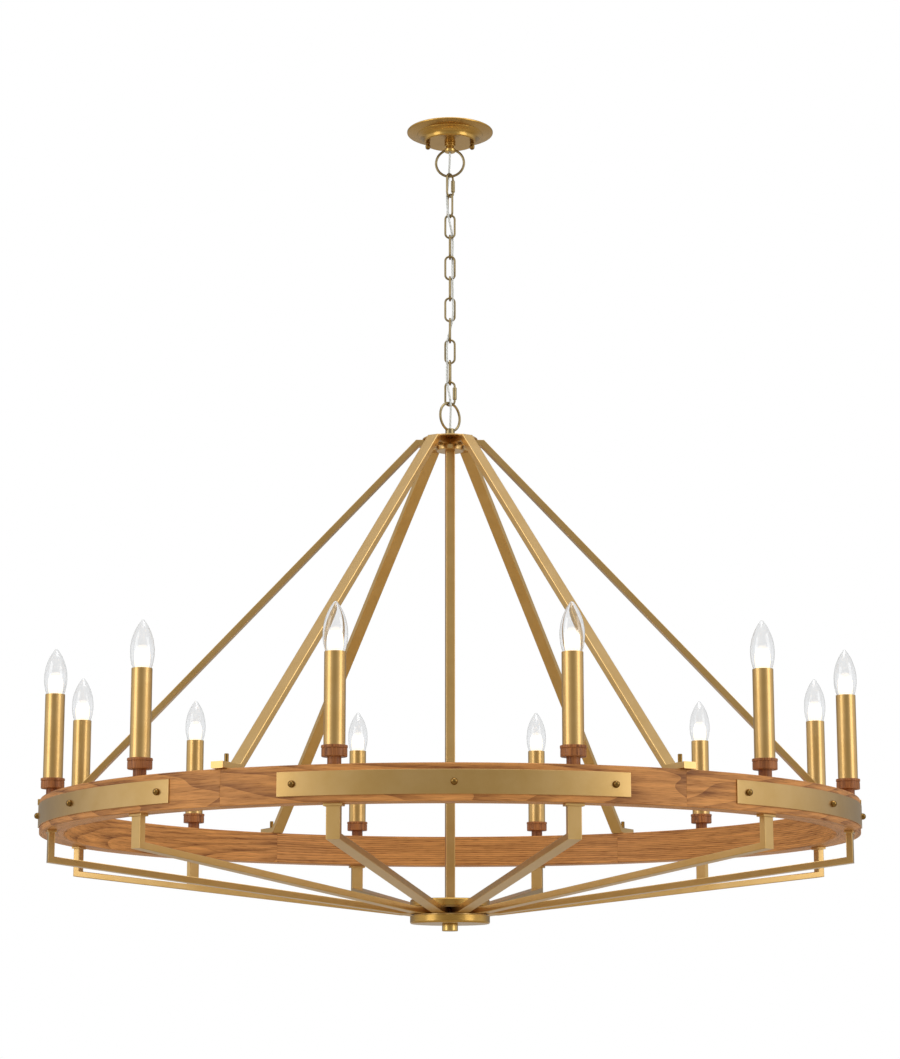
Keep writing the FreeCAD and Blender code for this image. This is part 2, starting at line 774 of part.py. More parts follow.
def make_ring_segment(number):
    """One sixth of the ring, cut square at both ends and drilled for posts, studs and plate screws."""
    body = new_body(f"ring_segment_{number}", f"{60 * number - 30}")
    low = "(ring_top_z - ring_height)"
    profile = new_sketch(body, "profile", "XZ_Plane")
    draw(profile, [
        ("ring_inner + ring_edge", low),
        ("ring_outer - ring_edge", low),
        ("ring_outer", f"{low} + ring_edge"),
        ("ring_outer", "ring_top_z - ring_edge"),
        ("ring_outer - ring_edge", "ring_top_z"),
        ("ring_inner + ring_edge", "ring_top_z"),
        ("ring_inner", "ring_top_z - ring_edge"),
        ("ring_inner", f"{low} + ring_edge"),
    ])
    turned(body, "block", profile, angle=60)
    posts = new_sketch(body, "post_holes", "XY_Plane")
    studs = new_sketch(body, "stud_holes", "XY_Plane")
    for sign in "-", "":
        draw_circle(posts, "candle_circle * cos(15)", f"{sign}candle_circle * sin(15)", "post_clearance")
        draw_circle(studs, "foot_stud_circle * cos(30)", f"{sign}foot_stud_circle * sin(30)", "foot_stud_radius")
    drilled(body, "post_holes", posts)
    drilled(body, "stud_holes", studs, "-(ring_top_z + foot_stud_end_rise)")
    pilot = new_sketch(body, "pilot", "XY_Plane", ("0", "0", "ring_top_z - ring_height / 2"), -20)
    draw(pilot, [
        ("ring_outer - plate_screw_length", "0"),
        ("ring_outer + 1", "0"),
        ("ring_outer + 1", "plate_screw_shank"),
        ("ring_outer - plate_screw_length", "plate_screw_shank"),
    ])
    repeated(body, [turned_away(body, "pilot_turned", pilot, "H_Axis")], 3, "2 * plate_screw_step")


def make_band_plates():
    """Six curved plates on the ring's outer face, one over each segment's middle, drilled for three screws."""
    body = new_body("band_plates", "30")
    middle = "ring_top_z - ring_height / 2"
    section = new_sketch(body, "section", "XZ_Plane", ("0", middle, "0"))
    draw_box(section, "plate_thick", "plate_height", "ring_outer + plate_thick / 2")
    features = [turned(body, "plate", section, angle=value("plate_angle"))]
    for turn in (-1, 0, 1):
        hole = new_sketch(body, f"hole_{turn + 2}", "XY_Plane", ("0", "0", middle), turn * value("plate_screw_step"))
        draw(hole, [
            ("ring_outer - 1", "0"),
            ("ring_outer + plate_thick + 1", "0"),
            ("ring_outer + plate_thick + 1", "plate_screw_shank"),
            ("ring_outer - 1", "plate_screw_shank"),
        ])
        features.append(turned_away(body, f"hole_turned_{turn + 2}", hole, "H_Axis"))
    repeated(body, features, 6)


def make_plate_screws():
    """Round headed screws, three to a plate."""
    body = new_body("plate_screws", "30")
    face = "ring_outer + plate_thick"
    features = []
    for turn in (-1, 0, 1):
        angle = turn * value("plate_screw_step")
        sketch = new_sketch(body, f"screw_{turn + 2}", "XY_Plane", ("0", "0", "ring_top_z - ring_height / 2"), angle)
        draw(sketch, [
            ("ring_outer - plate_screw_length", "0"),
            (f"{face} + plate_screw_rise", "0"),
            (f"{face} + plate_screw_rim", "plate_screw_head", "+plate_screw_dome"),
            (face, "plate_screw_head"),
            (face, "plate_screw_shank"),
            ("ring_outer - plate_screw_length + 4", "plate_screw_shank"),
        ])
        features.append(turned(body, f"screw_turned_{turn + 2}", sketch, "H_Axis"))
    repeated(body, features, 6)


# ---- candles ----

def candle_ring(name, profile):
    """A turned piece standing on the ring at every candle."""
    body = new_body(name, "180 / candle_count")
    sketch = new_sketch(body, "profile", "XZ_Plane", ("candle_circle", "ring_top_z", "0"))
    piece = turned(body, "piece", draw(sketch, profile), "V_Axis")
    repeated(body, [piece], int(value("candle_count")))


def make_candle_cups():
    """Oak cups on a narrow neck, with a grooved band and a recess for the sleeve."""
    candle_ring("candle_cups", [
        ("post_clearance", "0"),
        ("cup_neck", "0"),
        ("cup_neck", "cup_neck_rise"),
        ("cup_foot", "cup_neck_rise"),
        ("cup_band", "cup_neck_rise + cup_band - cup_foot", "+cup_band - cup_foot"),
        ("cup_band", "cup_band_rise"),
        ("cup_groove", "cup_band_rise + cup_band - cup_groove", "-cup_band - cup_groove"),
        ("cup_rim", "cup_rim_rise"),
        ("cup_rim", "cup_top_rise"),
        ("cup_recess", "cup_top_rise"),
        ("cup_recess", "cup_recess_rise"),
        ("post_clearance", "cup_recess_rise"),
    ])


def make_candle_sleeves():
    """Plain tubes that hide the posts and sockets."""
    candle_ring("candle_sleeves", [
        ("sleeve_radius - sleeve_wall", "cup_recess_rise"),
        ("sleeve_radius", "cup_recess_rise"),
        ("sleeve_radius", "sleeve_top_rise"),
        ("sleeve_radius - sleeve_wall", "sleeve_top_rise"),
    ])


def make_candle_posts():
    """Hollow threaded posts, screwed into the end plates of the lower arms, each with a nut in its cup."""
    body = new_body("candle_posts", "180 / candle_count")
    below = "ring_height + end_plate_thick"
    post = new_sketch(body, "post", "XY_Plane", ("0", "0", f"ring_top_z - ({below})"))
    draw_circle(post, "candle_circle", "0", "nipple_radius")
    draw_circle(post, "candle_circle", "0", "nipple_bore")
    nut = new_sketch(body, "nut", "XY_Plane", ("0", "0", "ring_top_z + cup_recess_rise"))
    draw_hexagon(nut, "candle_nut_flat", "candle_circle")
    draw_circle(nut, "candle_circle", "0", "nipple_radius")
    both = [
        padded(body, "post_tube", post, f"{below} + post_top_rise"),
        padded(body, "post_nut", nut, "lock_nut_thick"),
    ]
    repeated(body, both, int(value("candle_count")))


def make_lamp_sockets():
    """Small screw sockets on the posts, open at the top."""
    candle_ring("lamp_sockets", [
        ("nipple_radius", "socket_neck_rise"),
        ("socket_neck", "socket_neck_rise"),
        ("socket_neck", "socket_foot_rise"),
        ("socket_radius", "socket_foot_rise"),
        ("socket_radius", "socket_top_rise"),
        ("socket_well", "socket_top_rise"),
        ("socket_well", "socket_well_rise"),
        ("0", "socket_well_rise"),
        ("0", "post_top_rise"),
        ("nipple_radius", "post_top_rise"),
    ])


def make_bulbs():
    """Candle bulbs: screw base, glass widening through the sleeve's mouth to a belly, and a pointed tip."""
    candle_ring("bulbs", [
        ("0", "bulb_contact_rise"),
        ("bulb_contact", "bulb_contact_rise"),
        ("bulb_base", "bulb_base_rise"),
        ("bulb_base", "bulb_neck_rise"),
        ("bulb_throat", "bulb_throat_rise"),
        ("bulb_belly", "bulb_belly_rise", "+bulb_lower_curve"),
        ("bulb_shoulder", "bulb_shoulder_rise", "+bulb_upper_curve"),
        ("0", "bulb_shoulder_rise - sqrt(bulb_tip_round^2 - bulb_shoulder^2) + bulb_tip_round", "+bulb_tip_round"),
    ])


# ---- lower arms and hub ----

def make_lower_arm(number):
    """A thin flat tube from the lower hub out to a candle, up to an end plate tapped for the post."""
    body = new_body(f"lower_arm_{number:02d}", f"({number} - 0.5) * 360 / candle_count")
    ring_low = "ring_top_z - ring_height"
    way = [
        ("lower_arm_start", "lower_arm_bend_z"),
        ("lower_arm_bend", "lower_arm_bend_z"),
        ("candle_circle", "lower_arm_corner_z"),
        ("candle_circle", f"{ring_low} - end_plate_thick"),
    ]
    tube(body, "arm_width", "arm_thick", "arm_wall", "lower_arm_start", "lower_arm_bend_z", way, way)
    plate = new_sketch(body, "plate", "XY_Plane", ("0", "0", ring_low))
    draw_box(plate, "end_plate_width", "end_plate_length", "candle_circle")
    draw_circle(plate, "candle_circle", "0", "nipple_radius")
    padded(body, "end_plate", plate, "end_plate_thick", down=True)


def make_pan(name, face_z, rim_z, inward):
    """A shallow pressed pan. Inward is the sign of the way from its flat face to its rim."""
    outward = "+" if inward == "-" else "-"
    body = new_body(name)
    sketch = new_sketch(body, "profile", "XZ_Plane")
    draw(sketch, [
        ("lower_stem + 0.1", f"{face_z} {inward} pan_skin"),
        ("pan_radius - pan_edge", f"{face_z} {inward} pan_skin"),
        ("pan_radius - pan_skin", f"{face_z} {inward} pan_edge", f"{inward}pan_edge - pan_skin"),
        ("pan_radius - pan_skin", rim_z),
        ("pan_radius", rim_z),
        ("pan_radius", f"{face_z} {inward} pan_edge"),
        ("pan_radius - pan_edge", face_z, f"{outward}pan_edge"),
        ("lower_stem + 0.1", face_z),
    ])
    turned(body, "pan", sketch)


def make_hub_spool():
    """The spool that grips the lower arms between two flanges, on a hollow stem that runs up into the rod."""
    body = new_body("hub_spool")
    top = "lower_arm_bend_z + arm_thick / 2"
    low = "lower_arm_bend_z - arm_thick / 2"
    sketch = new_sketch(body, "profile", "XZ_Plane")
    draw(sketch, [
        ("lower_stem_bore", "lower_stem_end_z"),
        ("lower_stem", "lower_stem_end_z"),
        ("lower_stem", "lower_pan_end_z + pan_skin"),
        ("spool_core", "lower_pan_end_z + pan_skin"),
        ("spool_core", f"{low} - spool_flange_thick"),
        ("spool_flange", f"{low} - spool_flange_thick"),
        ("spool_flange", low),
        ("spool_core", low),
        ("spool_core", top),
        ("spool_flange", top),
        ("spool_flange", f"{top} + spool_flange_thick"),
        ("spool_core", f"{top} + spool_flange_thick"),
        ("spool_core", "upper_pan_top_z - pan_skin"),
        ("lower_stem", "upper_pan_top_z - pan_skin"),
        ("lower_stem", "lower_stem_top_z"),
        ("lower_stem_bore", "lower_stem_top_z"),
    ])
    turned(body, "spool", sketch)


def make_finial():
    """The low round cap nut under the lower pan."""
    body = new_body("finial")
    sketch = new_sketch(body, "profile", "XZ_Plane")
    draw(sketch, [
        ("lower_stem", "lower_pan_end_z"),
        ("lower_stem", "lower_stem_end_z"),
        ("0", "lower_stem_end_z"),
        ("0", "finial_end_z"),
        ("finial_radius - finial_edge", "finial_end_z"),
        ("finial_radius", "finial_end_z + finial_edge", "+finial_edge"),
        ("finial_radius", "lower_pan_end_z - 1"),
        ("finial_radius - 1", "lower_pan_end_z", "+1"),
    ])
    turned(body, "cap", sketch)


def make_everything():
    for make in (make_crossbar, make_studs, make_nipple, make_canopy, make_knobs, make_collar, make_canopy_loop):
        make()
    for number, turn in enumerate(LINK_TURNS, 1):
        make_chain_link(number, turn)
    for make in (make_supply_cord, make_hub_loop, make_hub_nut, make_top_plate, make_hub_drum):
        make()
    for number in range(1, 7):
        make_upper_arm(number)
    for make in (make_arm_bolts, make_centre_rod):
        make()
    for number in range(1, 7):
        make_ring_segment(number)
    for make in (make_band_plates, make_plate_screws, make_candle_cups, make_candle_sleeves):
        make()
    for make in (make_candle_posts, make_lamp_sockets, make_bulbs):
        make()
    for number in range(1, int(value("candle_count")) + 1):
        make_lower_arm(number)
    make_pan("lower_hub_top_pan", "upper_pan_top_z", "upper_pan_rim_z", "-")
    make_pan("lower_hub_bottom_pan", "lower_pan_end_z", "lower_pan_rim_z", "+")
    make_hub_spool()
    make_finial()


def check_everything():
    """Every object is sound, and every node has a valid shape."""
    doc.recompute()
    for item in doc.Objects:
        if {"Invalid", "Error"} & set(item.State):
            raise RuntimeError(f"{item.Name} is {item.State}")
    for node in NODES:
        if node.Shape.isNull() or not node.Shape.isValid():
            raise RuntimeError(f"{node.Name} has no valid shape")


make_everything()
check_everything()
os.makedirs("parts", exist_ok=True)
for node in NODES:
    box = node.Shape.BoundBox
    print(f"{node.Label}: {len(node.Shape.Solids)} solids, {node.Shape.Volume:.0f} mm3, "
          f"z {box.ZMin:.1f} to {box.ZMax:.1f}")
    node.Shape.exportStep(f"parts/{node.Label}.step")
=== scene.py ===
import math
from functools import partial
from types import SimpleNamespace

import bmesh
import bpy
import numpy as np
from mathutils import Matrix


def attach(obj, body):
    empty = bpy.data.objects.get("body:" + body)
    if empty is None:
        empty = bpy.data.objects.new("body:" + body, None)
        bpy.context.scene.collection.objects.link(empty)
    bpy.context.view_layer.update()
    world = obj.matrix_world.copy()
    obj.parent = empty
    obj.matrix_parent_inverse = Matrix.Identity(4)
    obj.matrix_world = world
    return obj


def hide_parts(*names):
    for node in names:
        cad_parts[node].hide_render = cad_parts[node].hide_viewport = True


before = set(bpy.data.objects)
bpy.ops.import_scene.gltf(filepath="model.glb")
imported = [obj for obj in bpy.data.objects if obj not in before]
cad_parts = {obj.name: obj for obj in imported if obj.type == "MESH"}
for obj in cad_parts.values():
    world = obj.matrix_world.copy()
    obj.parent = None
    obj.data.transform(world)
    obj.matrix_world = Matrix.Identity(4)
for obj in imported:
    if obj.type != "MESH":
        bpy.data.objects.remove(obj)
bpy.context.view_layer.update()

bl_info = {
    "name": "Wagon wheel chandelier",
    "version": (1, 0, 0),
    "blender": (4, 5, 0),
    "location": "3D View > Sidebar > Chandelier",
    "description": "Dresses the packed chandelier: turned brass, flat tube arms, oak ring, chain, cord and candles",
    "category": "Add Mesh",
}

# Each link's plane in degrees from +X, from the canopy down, and the links that have a threaded sleeve.
LINK_TURNS = (50, 119, 2, 87, 0, 87, 0, 88, 0, 84, -8)
QUICK_LINKS = (1, 11)
BODIES = ("ceiling", *(f"link_{k:02d}" for k in range(1, 12)), "fixture")

# Where the candles, the upper arms and the band plates stand round the ring, in degrees.
CANDLE_TURNS = np.arange(12) * 30 + 15
ARM_TURNS = np.arange(6) * 60
PLATE_TURNS = ARM_TURNS + 30

# Heights in the two hubs in millimetres: under the arm plate, at the drum's rim, under the drum, and outside the pans.
PLATE_LOW, DRUM_RIM, DRUM_LOW, PAN_HIGH, PAN_LOW = -519, -528.5, -536, -1244.7, -1282

# A bend sharper than this shows as an edge. An outline that is drawn in keeps corners of this radius, in millimetres.
SHARP_BEND, LEAST_CORNER = math.radians(35), 0.05

# How far the run moves on from one copy of a shape to the next in millimetres, so that no two look alike.
RUN_STEP = np.array([97.0, 31.0, 13.0])

# The camera as fitted to the photograph: metres from the axis and up, degrees of tilt and yaw, and the lens.
CAMERA_AWAY, CAMERA_HEIGHT, CAMERA_TILT, CAMERA_YAW, CAMERA_LENS = 4.109, -1.478, 101.22, 0.5, 89.865
FLOOR_HEIGHT, FLOOR_REACH = -2.15, 15

# The supply cord's route in metres: out of the canopy loop, past each crossing of two links, into the hub loop.
CROSSINGS = (
    (-0.0019, 0.0049), (-0.0056, 0.0009), (-0.0033, -0.0061), (0.0052, 0.0058), (0.0039, 0.0052), (0.0039, -0.0055),
    (0.0046, -0.0044), (0.0053, -0.0038), (-0.0054, -0.0039), (-0.0046, -0.0046), (-0.0054, -0.0046), (0.0019, -0.0054),
)


def linear(code):
    """A hex colour from sRGB to linear: c / 12.92 up to 0.04045, and ((c + 0.055) / 1.055) ^ 2.4 above it."""
    c = np.array([int(code[i:i + 2], 16) for i in (1, 3, 5)]) / 255
    return tuple(np.where(c <= 0.04045, c / 12.92, ((c + 0.055) / 1.055) ** 2.4).tolist())


# ---- sizes and colours ----


def metres(name, description, default):
    """One of the panel's sizes."""
    return bpy.props.FloatProperty(name=name, description=description, default=default, unit="LENGTH")


def hex_colour(name, description, code):
    """One of the panel's colours."""
    return bpy.props.FloatVectorProperty(
        name=name, description=description, subtype="COLOR", min=0, max=1, default=linear(code)
    )


class ChandelierSizes(bpy.types.PropertyGroup):
    """The chandelier's main sizes. Heights are counted down from the ceiling, and rises up from the ring's top."""

    canopy_radius: metres("Canopy radius", "Out to the rolled lip", 0.07)
    canopy_depth: metres("Canopy depth", "Down to the canopy's flat face", 0.02)
    knob_spacing: metres("Knob spacing", "Between the two ball nuts", 0.072)
    loop_radius: metres("Loop radius", "Of both large loops, at the middle of the wire", 0.02275)
    loop_wire: metres("Loop wire radius", "Half the thickness of the loops", 0.002)
    canopy_loop_drop: metres("Canopy loop drop", "Down to the upper loop's centre", 0.0544)
    hub_loop_drop: metres("Hub loop drop", "Down to the lower loop's centre", 0.47961)
    link_wire: metres("Link wire radius", "Half the thickness of the chain's wire", 0.0017)
    link_half_width: metres("Link half width", "At the middle of the wire", 0.0076)
    link_half_length: metres("Link half length", "At the middle of the wire", 0.019305)
    link_step: metres("Link step", "From one link's middle to the next", 0.03491)
    chain_top: metres("Chain top", "Down to the first link's upper wire", 0.07315)
    cord_radius: metres("Cord radius", "Half the supply cord's thickness", 0.0016)
    cord_lift: metres("Cord lift", "How far over the last hinge the cord is cut, clear of the hub loop", 0.0075)
    cord_lap: metres("Cord lap", "How far each stretch goes past its hinge, so that a bend shows no gap", 0.0013)
    top_plate_radius: metres("Top plate radius", "Of the plate over the arms", 0.044)
    drum_radius: metres("Drum radius", "Of the drum under the arms", 0.022)
    arm_width: metres("Arm width", "Of the flat tubes, across", 0.0195)
    arm_thick: metres("Arm thickness", "Of the flat tubes, up and down", 0.0095)
    arm_wall: metres("Arm wall", "Of the flat tubes", 0.0012)
    rod_side: metres("Rod side", "Of the square tube between the hubs", 0.014)
    ring_inner: metres("Ring inner radius", "Of the oak ring", 0.5925)
    ring_outer: metres("Ring outer radius", "Of the oak ring", 0.6295)
    ring_drop: metres("Ring drop", "Down to the ring's top face", 1.1005)
    ring_height: metres("Ring height", "Of the oak ring", 0.051)
    plate_thick: metres("Plate thickness", "Of the curved band plates", 0.002)
    plate_height: metres("Plate height", "Of the curved band plates", 0.033)
    plate_angle: bpy.props.FloatProperty(
        name="Plate angle", description="How far round each band plate goes", default=math.radians(44), subtype="ANGLE"
    )
    candle_circle: metres("Candle circle radius", "Out to the candles' axes", 0.6155)
    cup_radius: metres("Cup radius", "Of the cups' rim", 0.018)
    sleeve_radius: metres("Sleeve radius", "Of the candle sleeves", 0.01475)
    sleeve_rise: metres("Sleeve rise", "Up to the sleeves' top edge", 0.1522)
    bulb_radius: metres("Bulb radius", "At the bulbs' belly", 0.0172)
    lower_arm_drop: metres("Lower arm drop", "Down to the lower arms' axes at the hub", 1.26295)
    pan_radius: metres("Pan radius", "Of the lower hub's two pans", 0.0615)
    finial_radius: metres("Finial radius", "Of the cap nut under the hub", 0.01225)


class ChandelierColours(bpy.types.PropertyGroup):
    """The colours of the finishes, as linear values."""

    brass_pale: hex_colour("Brass, pale", "Satin brass where the lacquer is thin", "#D6B47C")
    brass_deep: hex_colour("Brass, deep", "Satin brass where the lacquer is thick", "#C39B57")
    spun_pale: hex_colour("Spun brass, pale", "Canopy and pans where the lacquer is thin", "#CDA55C")
    spun_deep: hex_colour("Spun brass, deep", "Canopy and pans where the lacquer is thick", "#AC843C")
    polish: hex_colour("Polished brass", "Ball nuts, collar and screw heads", "#CDAE68")
    # The darkened brass is painted shade: the same brass, its colour made darker where small heads and knobs mirror a
    # dark room.
    painted_shade_pale: hex_colour("Darkened brass, pale", "Screw heads and knobs where they are rubbed", "#9C7A42")
    painted_shade_deep: hex_colour("Darkened brass, deep", "Screw heads and knobs elsewhere", "#6A4E26")
    chain_pale: hex_colour("Chain, pale", "The plated chain where it is rubbed", "#AC9B74")
    chain_deep: hex_colour("Chain, deep", "The plated chain elsewhere", "#7D6C49")
    zinc_pale: hex_colour("Zinc, pale", "Bright flakes of the plating", "#C9CCCB")
    zinc_deep: hex_colour("Zinc, deep", "Dull flakes of the plating", "#9EA3A3")
    oak_pale: hex_colour("Oak, pale", "The ring's summer wood", "#DA9650")
    oak_dark: hex_colour("Oak, dark", "The ring's spring wood", "#6C3A12")
    cup_pale: hex_colour("Cup oak, pale", "The turned cups' summer wood", "#B06E3A")
    cup_dark: hex_colour("Cup oak, dark", "The turned cups' spring wood", "#5A2E10")
    jacket: hex_colour("Cord jacket", "Clear plastic over tinned wire", "#EEF0EC")
    wire: hex_colour("Cord wire", "The wires that show through the jacket", "#B7B7AC")
    moulding: hex_colour("Socket moulding", "The lamp sockets", "#2B2622")
    glow: hex_colour("Glow", "The lit bulbs", "#FFF7EA")
    floor: hex_colour("Floor", "The studio's floor", "#E6E4E0")


def in_millimetres(context):
    """The sizes as plain numbers of millimetres. The one angle is left in degrees."""
    group = context.scene.chandelier_sizes
    found = SimpleNamespace(**{name: getattr(group, name) * 1000 for name in ChandelierSizes.__annotations__})
    found.plate_angle = math.degrees(group.plate_angle)
    return found


# ---- surfaces: each shape is its points and its run in millimetres, and its faces ----
# The run says how the surface was worked: its first two values change slowly along the brush marks, its third across.


def softened(corners, steps=5, ring=False):
    """A profile with soft corners. A corner P with bend d is the curve P + d (1-t)^2 u + d t^2 v, where u and v
    point to the corners before and after it, and t goes from 0 to 1."""
    line = np.array(corners, float)
    spots, bend = line[:, :2], line[:, 2:]
    before, after = np.roll(spots, 1, 0) - spots, np.roll(spots, -1, 0) - spots
    if not ring:
        before[0], after[-1] = 0, 0
    before = before / np.maximum(np.linalg.norm(before, axis=1, keepdims=True), 1e-9)
    after = after / np.maximum(np.linalg.norm(after, axis=1, keepdims=True), 1e-9)
    t = np.linspace(0, 1, steps)[None, :, None]
    curve = spots[:, None] + bend[:, None] * ((1 - t) ** 2 * before[:, None] + t ** 2 * after[:, None])
    curve = curve.reshape(-1, 2)
    return curve[np.r_[True, np.linalg.norm(np.diff(curve, axis=0), axis=1) > 1e-6]]


def quads(rows, columns, wrap_rows):
    """The faces of a grid of points that are counted row by row: (r, c), (r, c+1), (r+1, c+1), (r+1, c)."""
    r = np.arange(rows if wrap_rows else rows - 1)[:, None]
    c = np.arange(columns)[None, :]
    r_next, c_next = (r + 1) % rows * columns, (c + 1) % columns
    return np.stack([r * columns + c, r * columns + c_next, r_next + c_next, r_next + c], -1).reshape(-1, 4)


def there_and_back(count, length):
    """A run that grows to the middle of a closed line and shrinks again, so that it has no jump."""
    return length * (0.5 - np.abs(np.arange(count) / count - 0.5))


def xyz(*parts):
    """Three coordinates, each a grid or a part of one, as one grid of points."""
    return np.stack(np.broadcast_arrays(*parts), -1)


def grid(points, run, wrap_rows=False):
    """A grid of points as a shape. Its rows are closed lines."""
    return points.reshape(-1, 3), quads(*points.shape[:2], wrap_rows), run.reshape(-1, 3)


def together(*shapes):
    """Several shapes as one."""
    before = np.cumsum([0] + [len(shape[0]) for shape in shapes[:-1]])
    return (
        np.concatenate([shape[0] for shape in shapes]),
        np.concatenate([shape[1] + count for shape, count in zip(shapes, before)]),
        np.concatenate([shape[2] for shape in shapes]),
    )


def shifted(shape, x=0, y=0, z=0):
    """A shape moved by so much."""
    return shape[0] + np.array([x, y, z]), shape[1], shape[2]


def spun(shape, degrees):
    """Copies of a shape about Z, one for each angle a: (x cos a - y sin a, x sin a + y cos a, z)."""
    points, faces, run = shape
    a = np.radians(np.atleast_1d(np.array(degrees, float)))[:, None]
    x, y, z = points.T
    copies = xyz(x * np.cos(a) - y * np.sin(a), x * np.sin(a) + y * np.cos(a), z)
    count = np.arange(len(a))[:, None, None]
    return (
        copies.reshape(-1, 3),
        (faces[None] + count * len(points)).reshape(-1, 4),
        (run[None] + count * RUN_STEP).reshape(-1, 3),
    )


def lathe(corners, around=64, steps=5, ring=False):
    """A turned shape: at turn t the profile's point (r, z) stands at (r cos t, r sin t, z). A ring's profile is
    a closed line, and any other starts and ends on the axis."""
    r, z = softened(corners, steps, ring).T[:, :, None]
    t = np.linspace(0, 2 * np.pi, around, endpoint=False)
    along = np.cumsum(np.hypot(np.diff(r[:, 0], prepend=r[0, 0]), np.diff(z[:, 0], prepend=z[0, 0])))[:, None]
    points = xyz(r * np.cos(t), r * np.sin(t), z)
    return grid(points, xyz(points[..., 0], points[..., 1], along), ring)


def laid_out(shape):
    """A turned shape with its axis turned from +Z to +X, by passing the coordinates on: (z, x, y)."""
    return shape[0][:, [2, 0, 1]], shape[1], shape[2]


def upright_loop(half_width, half_length, wire, turn, z, steps=24, sides=16):
    """A loop of round wire in the upright plane at that turn. Its line is two half circles of radius w, their
    centres l - w above and below the middle, and P = line + wire (cos v out + sin v across)."""
    u = np.linspace(0, np.pi, steps)
    u = np.concatenate([u, u + np.pi])[:, None]
    v = np.linspace(0, 2 * np.pi, sides, endpoint=False)[None, :]
    rise = np.where(u <= np.pi + 1e-9, 1.0, -1.0) * (half_length - half_width)
    rise[steps:] = -(half_length - half_width)
    out = half_width + wire * np.cos(v)
    side, up, off = out * np.cos(u), out * np.sin(u) + rise + z, wire * np.sin(v)
    a = math.radians(turn)
    points = xyz(side * math.cos(a) - off * math.sin(a), side * math.sin(a) + off * math.cos(a), up)
    rows = there_and_back(2 * steps, 4 * half_length)[:, None]
    columns = there_and_back(sides, 2 * np.pi * wire)[None, :]
    return grid(points, xyz(rows, 0, columns), True)


def box_outline(width, height, corner, inset=0.0, steps=4):
    """A box's outline with round corners: a corner's centre, plus its radius times (cos a, sin a) over its quarter
    turn. With an array of insets it is one outline for each."""
    inset = np.atleast_1d(inset)[:, None]
    a = np.linspace(0, np.pi / 2, steps + 1)[None, :] + (np.pi / 2) * np.arange(4)[:, None]
    sign_x, sign_y = (np.repeat(s, steps + 1) for s in (np.array([1, -1, -1, 1]), np.array([1, 1, -1, -1])))
    radius = np.maximum(corner - inset, LEAST_CORNER)
    x = sign_x * (width / 2 - inset - radius) + radius * np.cos(a.ravel())
    y = sign_y * (height / 2 - inset - radius) + radius * np.sin(a.ravel())
    return x, y


def perimeter(x, y):
    """Half way round and back again, for an outline's run."""
    total = np.hypot(x - np.roll(x, 1), y - np.roll(y, 1)).sum()
    return there_and_back(len(x), total)


def flat_tube(way, width, height, wall, corner=1.0, closed_by=0.0):
    """A flat tube along a way (r, z) in the plane of X and Z, mitred at its bends: P = way + h m, with s across the
    plane, for each point (s, h) of the section's outline. The line m halves the bend and is 1 / cos of half the
    bend long. The inner face is the same with a smaller outline, and both are closed at the far end."""
    spots = np.array(way, float)
    step = np.diff(spots, axis=0)
    step /= np.linalg.norm(step, axis=1, keepdims=True)
    before, after = np.vstack([step[:1], step]), np.vstack([step, step[-1:]])
    normal = (before + after)[:, ::-1] * np.array([-1, 1])
    normal /= np.linalg.norm(normal, axis=1, keepdims=True)
    normal /= np.sum(normal * (before[:, ::-1] * np.array([-1, 1])), axis=1, keepdims=True)
    along = np.r_[0, np.cumsum(np.linalg.norm(np.diff(spots, axis=0), axis=1))]

    def skin(inset, spots):
        s, h = (line[0] for line in box_outline(width, height, corner, inset))
        line = spots[:, None] + h[None, :, None] * normal[:, None]
        rows = xyz(line[..., 0], s, line[..., 1])
        run = xyz(along[:, None], 0, perimeter(s, h))
        end = np.repeat(np.array([[spots[-1][0], 0, spots[-1][1]]]), len(s), 0)[None]
        return np.concatenate([rows, end]), np.concatenate([run, run[-1:]])

    inner = spots.copy()
    inner[-1] -= step[-1] * closed_by
    outer_rows, outer_run = skin(0.0, spots)
    inner_rows, inner_run = skin(wall, inner)
    return grid(np.concatenate([outer_rows[::-1], inner_rows]), np.concatenate([outer_run[::-1], inner_run]))


def slab(width, depth, low, high, corner, edge, steps=4):
    """A block with round corners and soft edges: near a face the outline is drawn in by e (1 - sin a) where the
    height has gone e (1 - cos a)."""
    a = np.linspace(0, np.pi / 2, steps)
    inset = edge * (1 - np.sin(a))
    z = np.concatenate([low + edge * (1 - np.cos(a)), high - edge * (1 - np.cos(a[::-1]))])
    x, y = box_outline(width, depth, corner, np.concatenate([inset, inset[::-1]]))
    rows = xyz(x, y, z[:, None])
    rows = np.concatenate([rows[:1] * [0, 0, 1], rows, rows[-1:] * [0, 0, 1]])
    return grid(rows, rows)


def curved_bar(inner, outer, low, high, corner, edge, angle, rows=40):
    """A bar bent about Z, centred on +X: the outline (r, z) carried over the angle, so P = (r cos t, r sin t, z). Near
    its ends the outline is drawn in by e (1 - sin a) where the bar has gone e (1 - cos a)."""
    a = np.linspace(0, np.pi / 2, 4)
    middle = (inner + outer) / 2
    half = math.radians(angle) / 2
    ends = edge * (1 - np.cos(a)) / middle
    t = np.concatenate([-half + ends, np.linspace(-half + 2 * ends[-1], half - 2 * ends[-1], rows), half - ends[::-1]])
    inset = np.concatenate([edge * (1 - np.sin(a)), np.zeros(rows), edge * (1 - np.sin(a[::-1]))])
    x, z = box_outline(outer - inner, high - low, corner, inset)
    x, z = np.vstack([0 * x[:1], x, 0 * x[:1]]) + middle, np.vstack([0 * z[:1], z, 0 * z[:1]]) + (low + high) / 2
    t = np.r_[t[0], t, t[-1]][:, None]
    return grid(xyz(x * np.cos(t), x * np.sin(t), z), xyz(middle * t, 0, perimeter(x[5], z[5])))


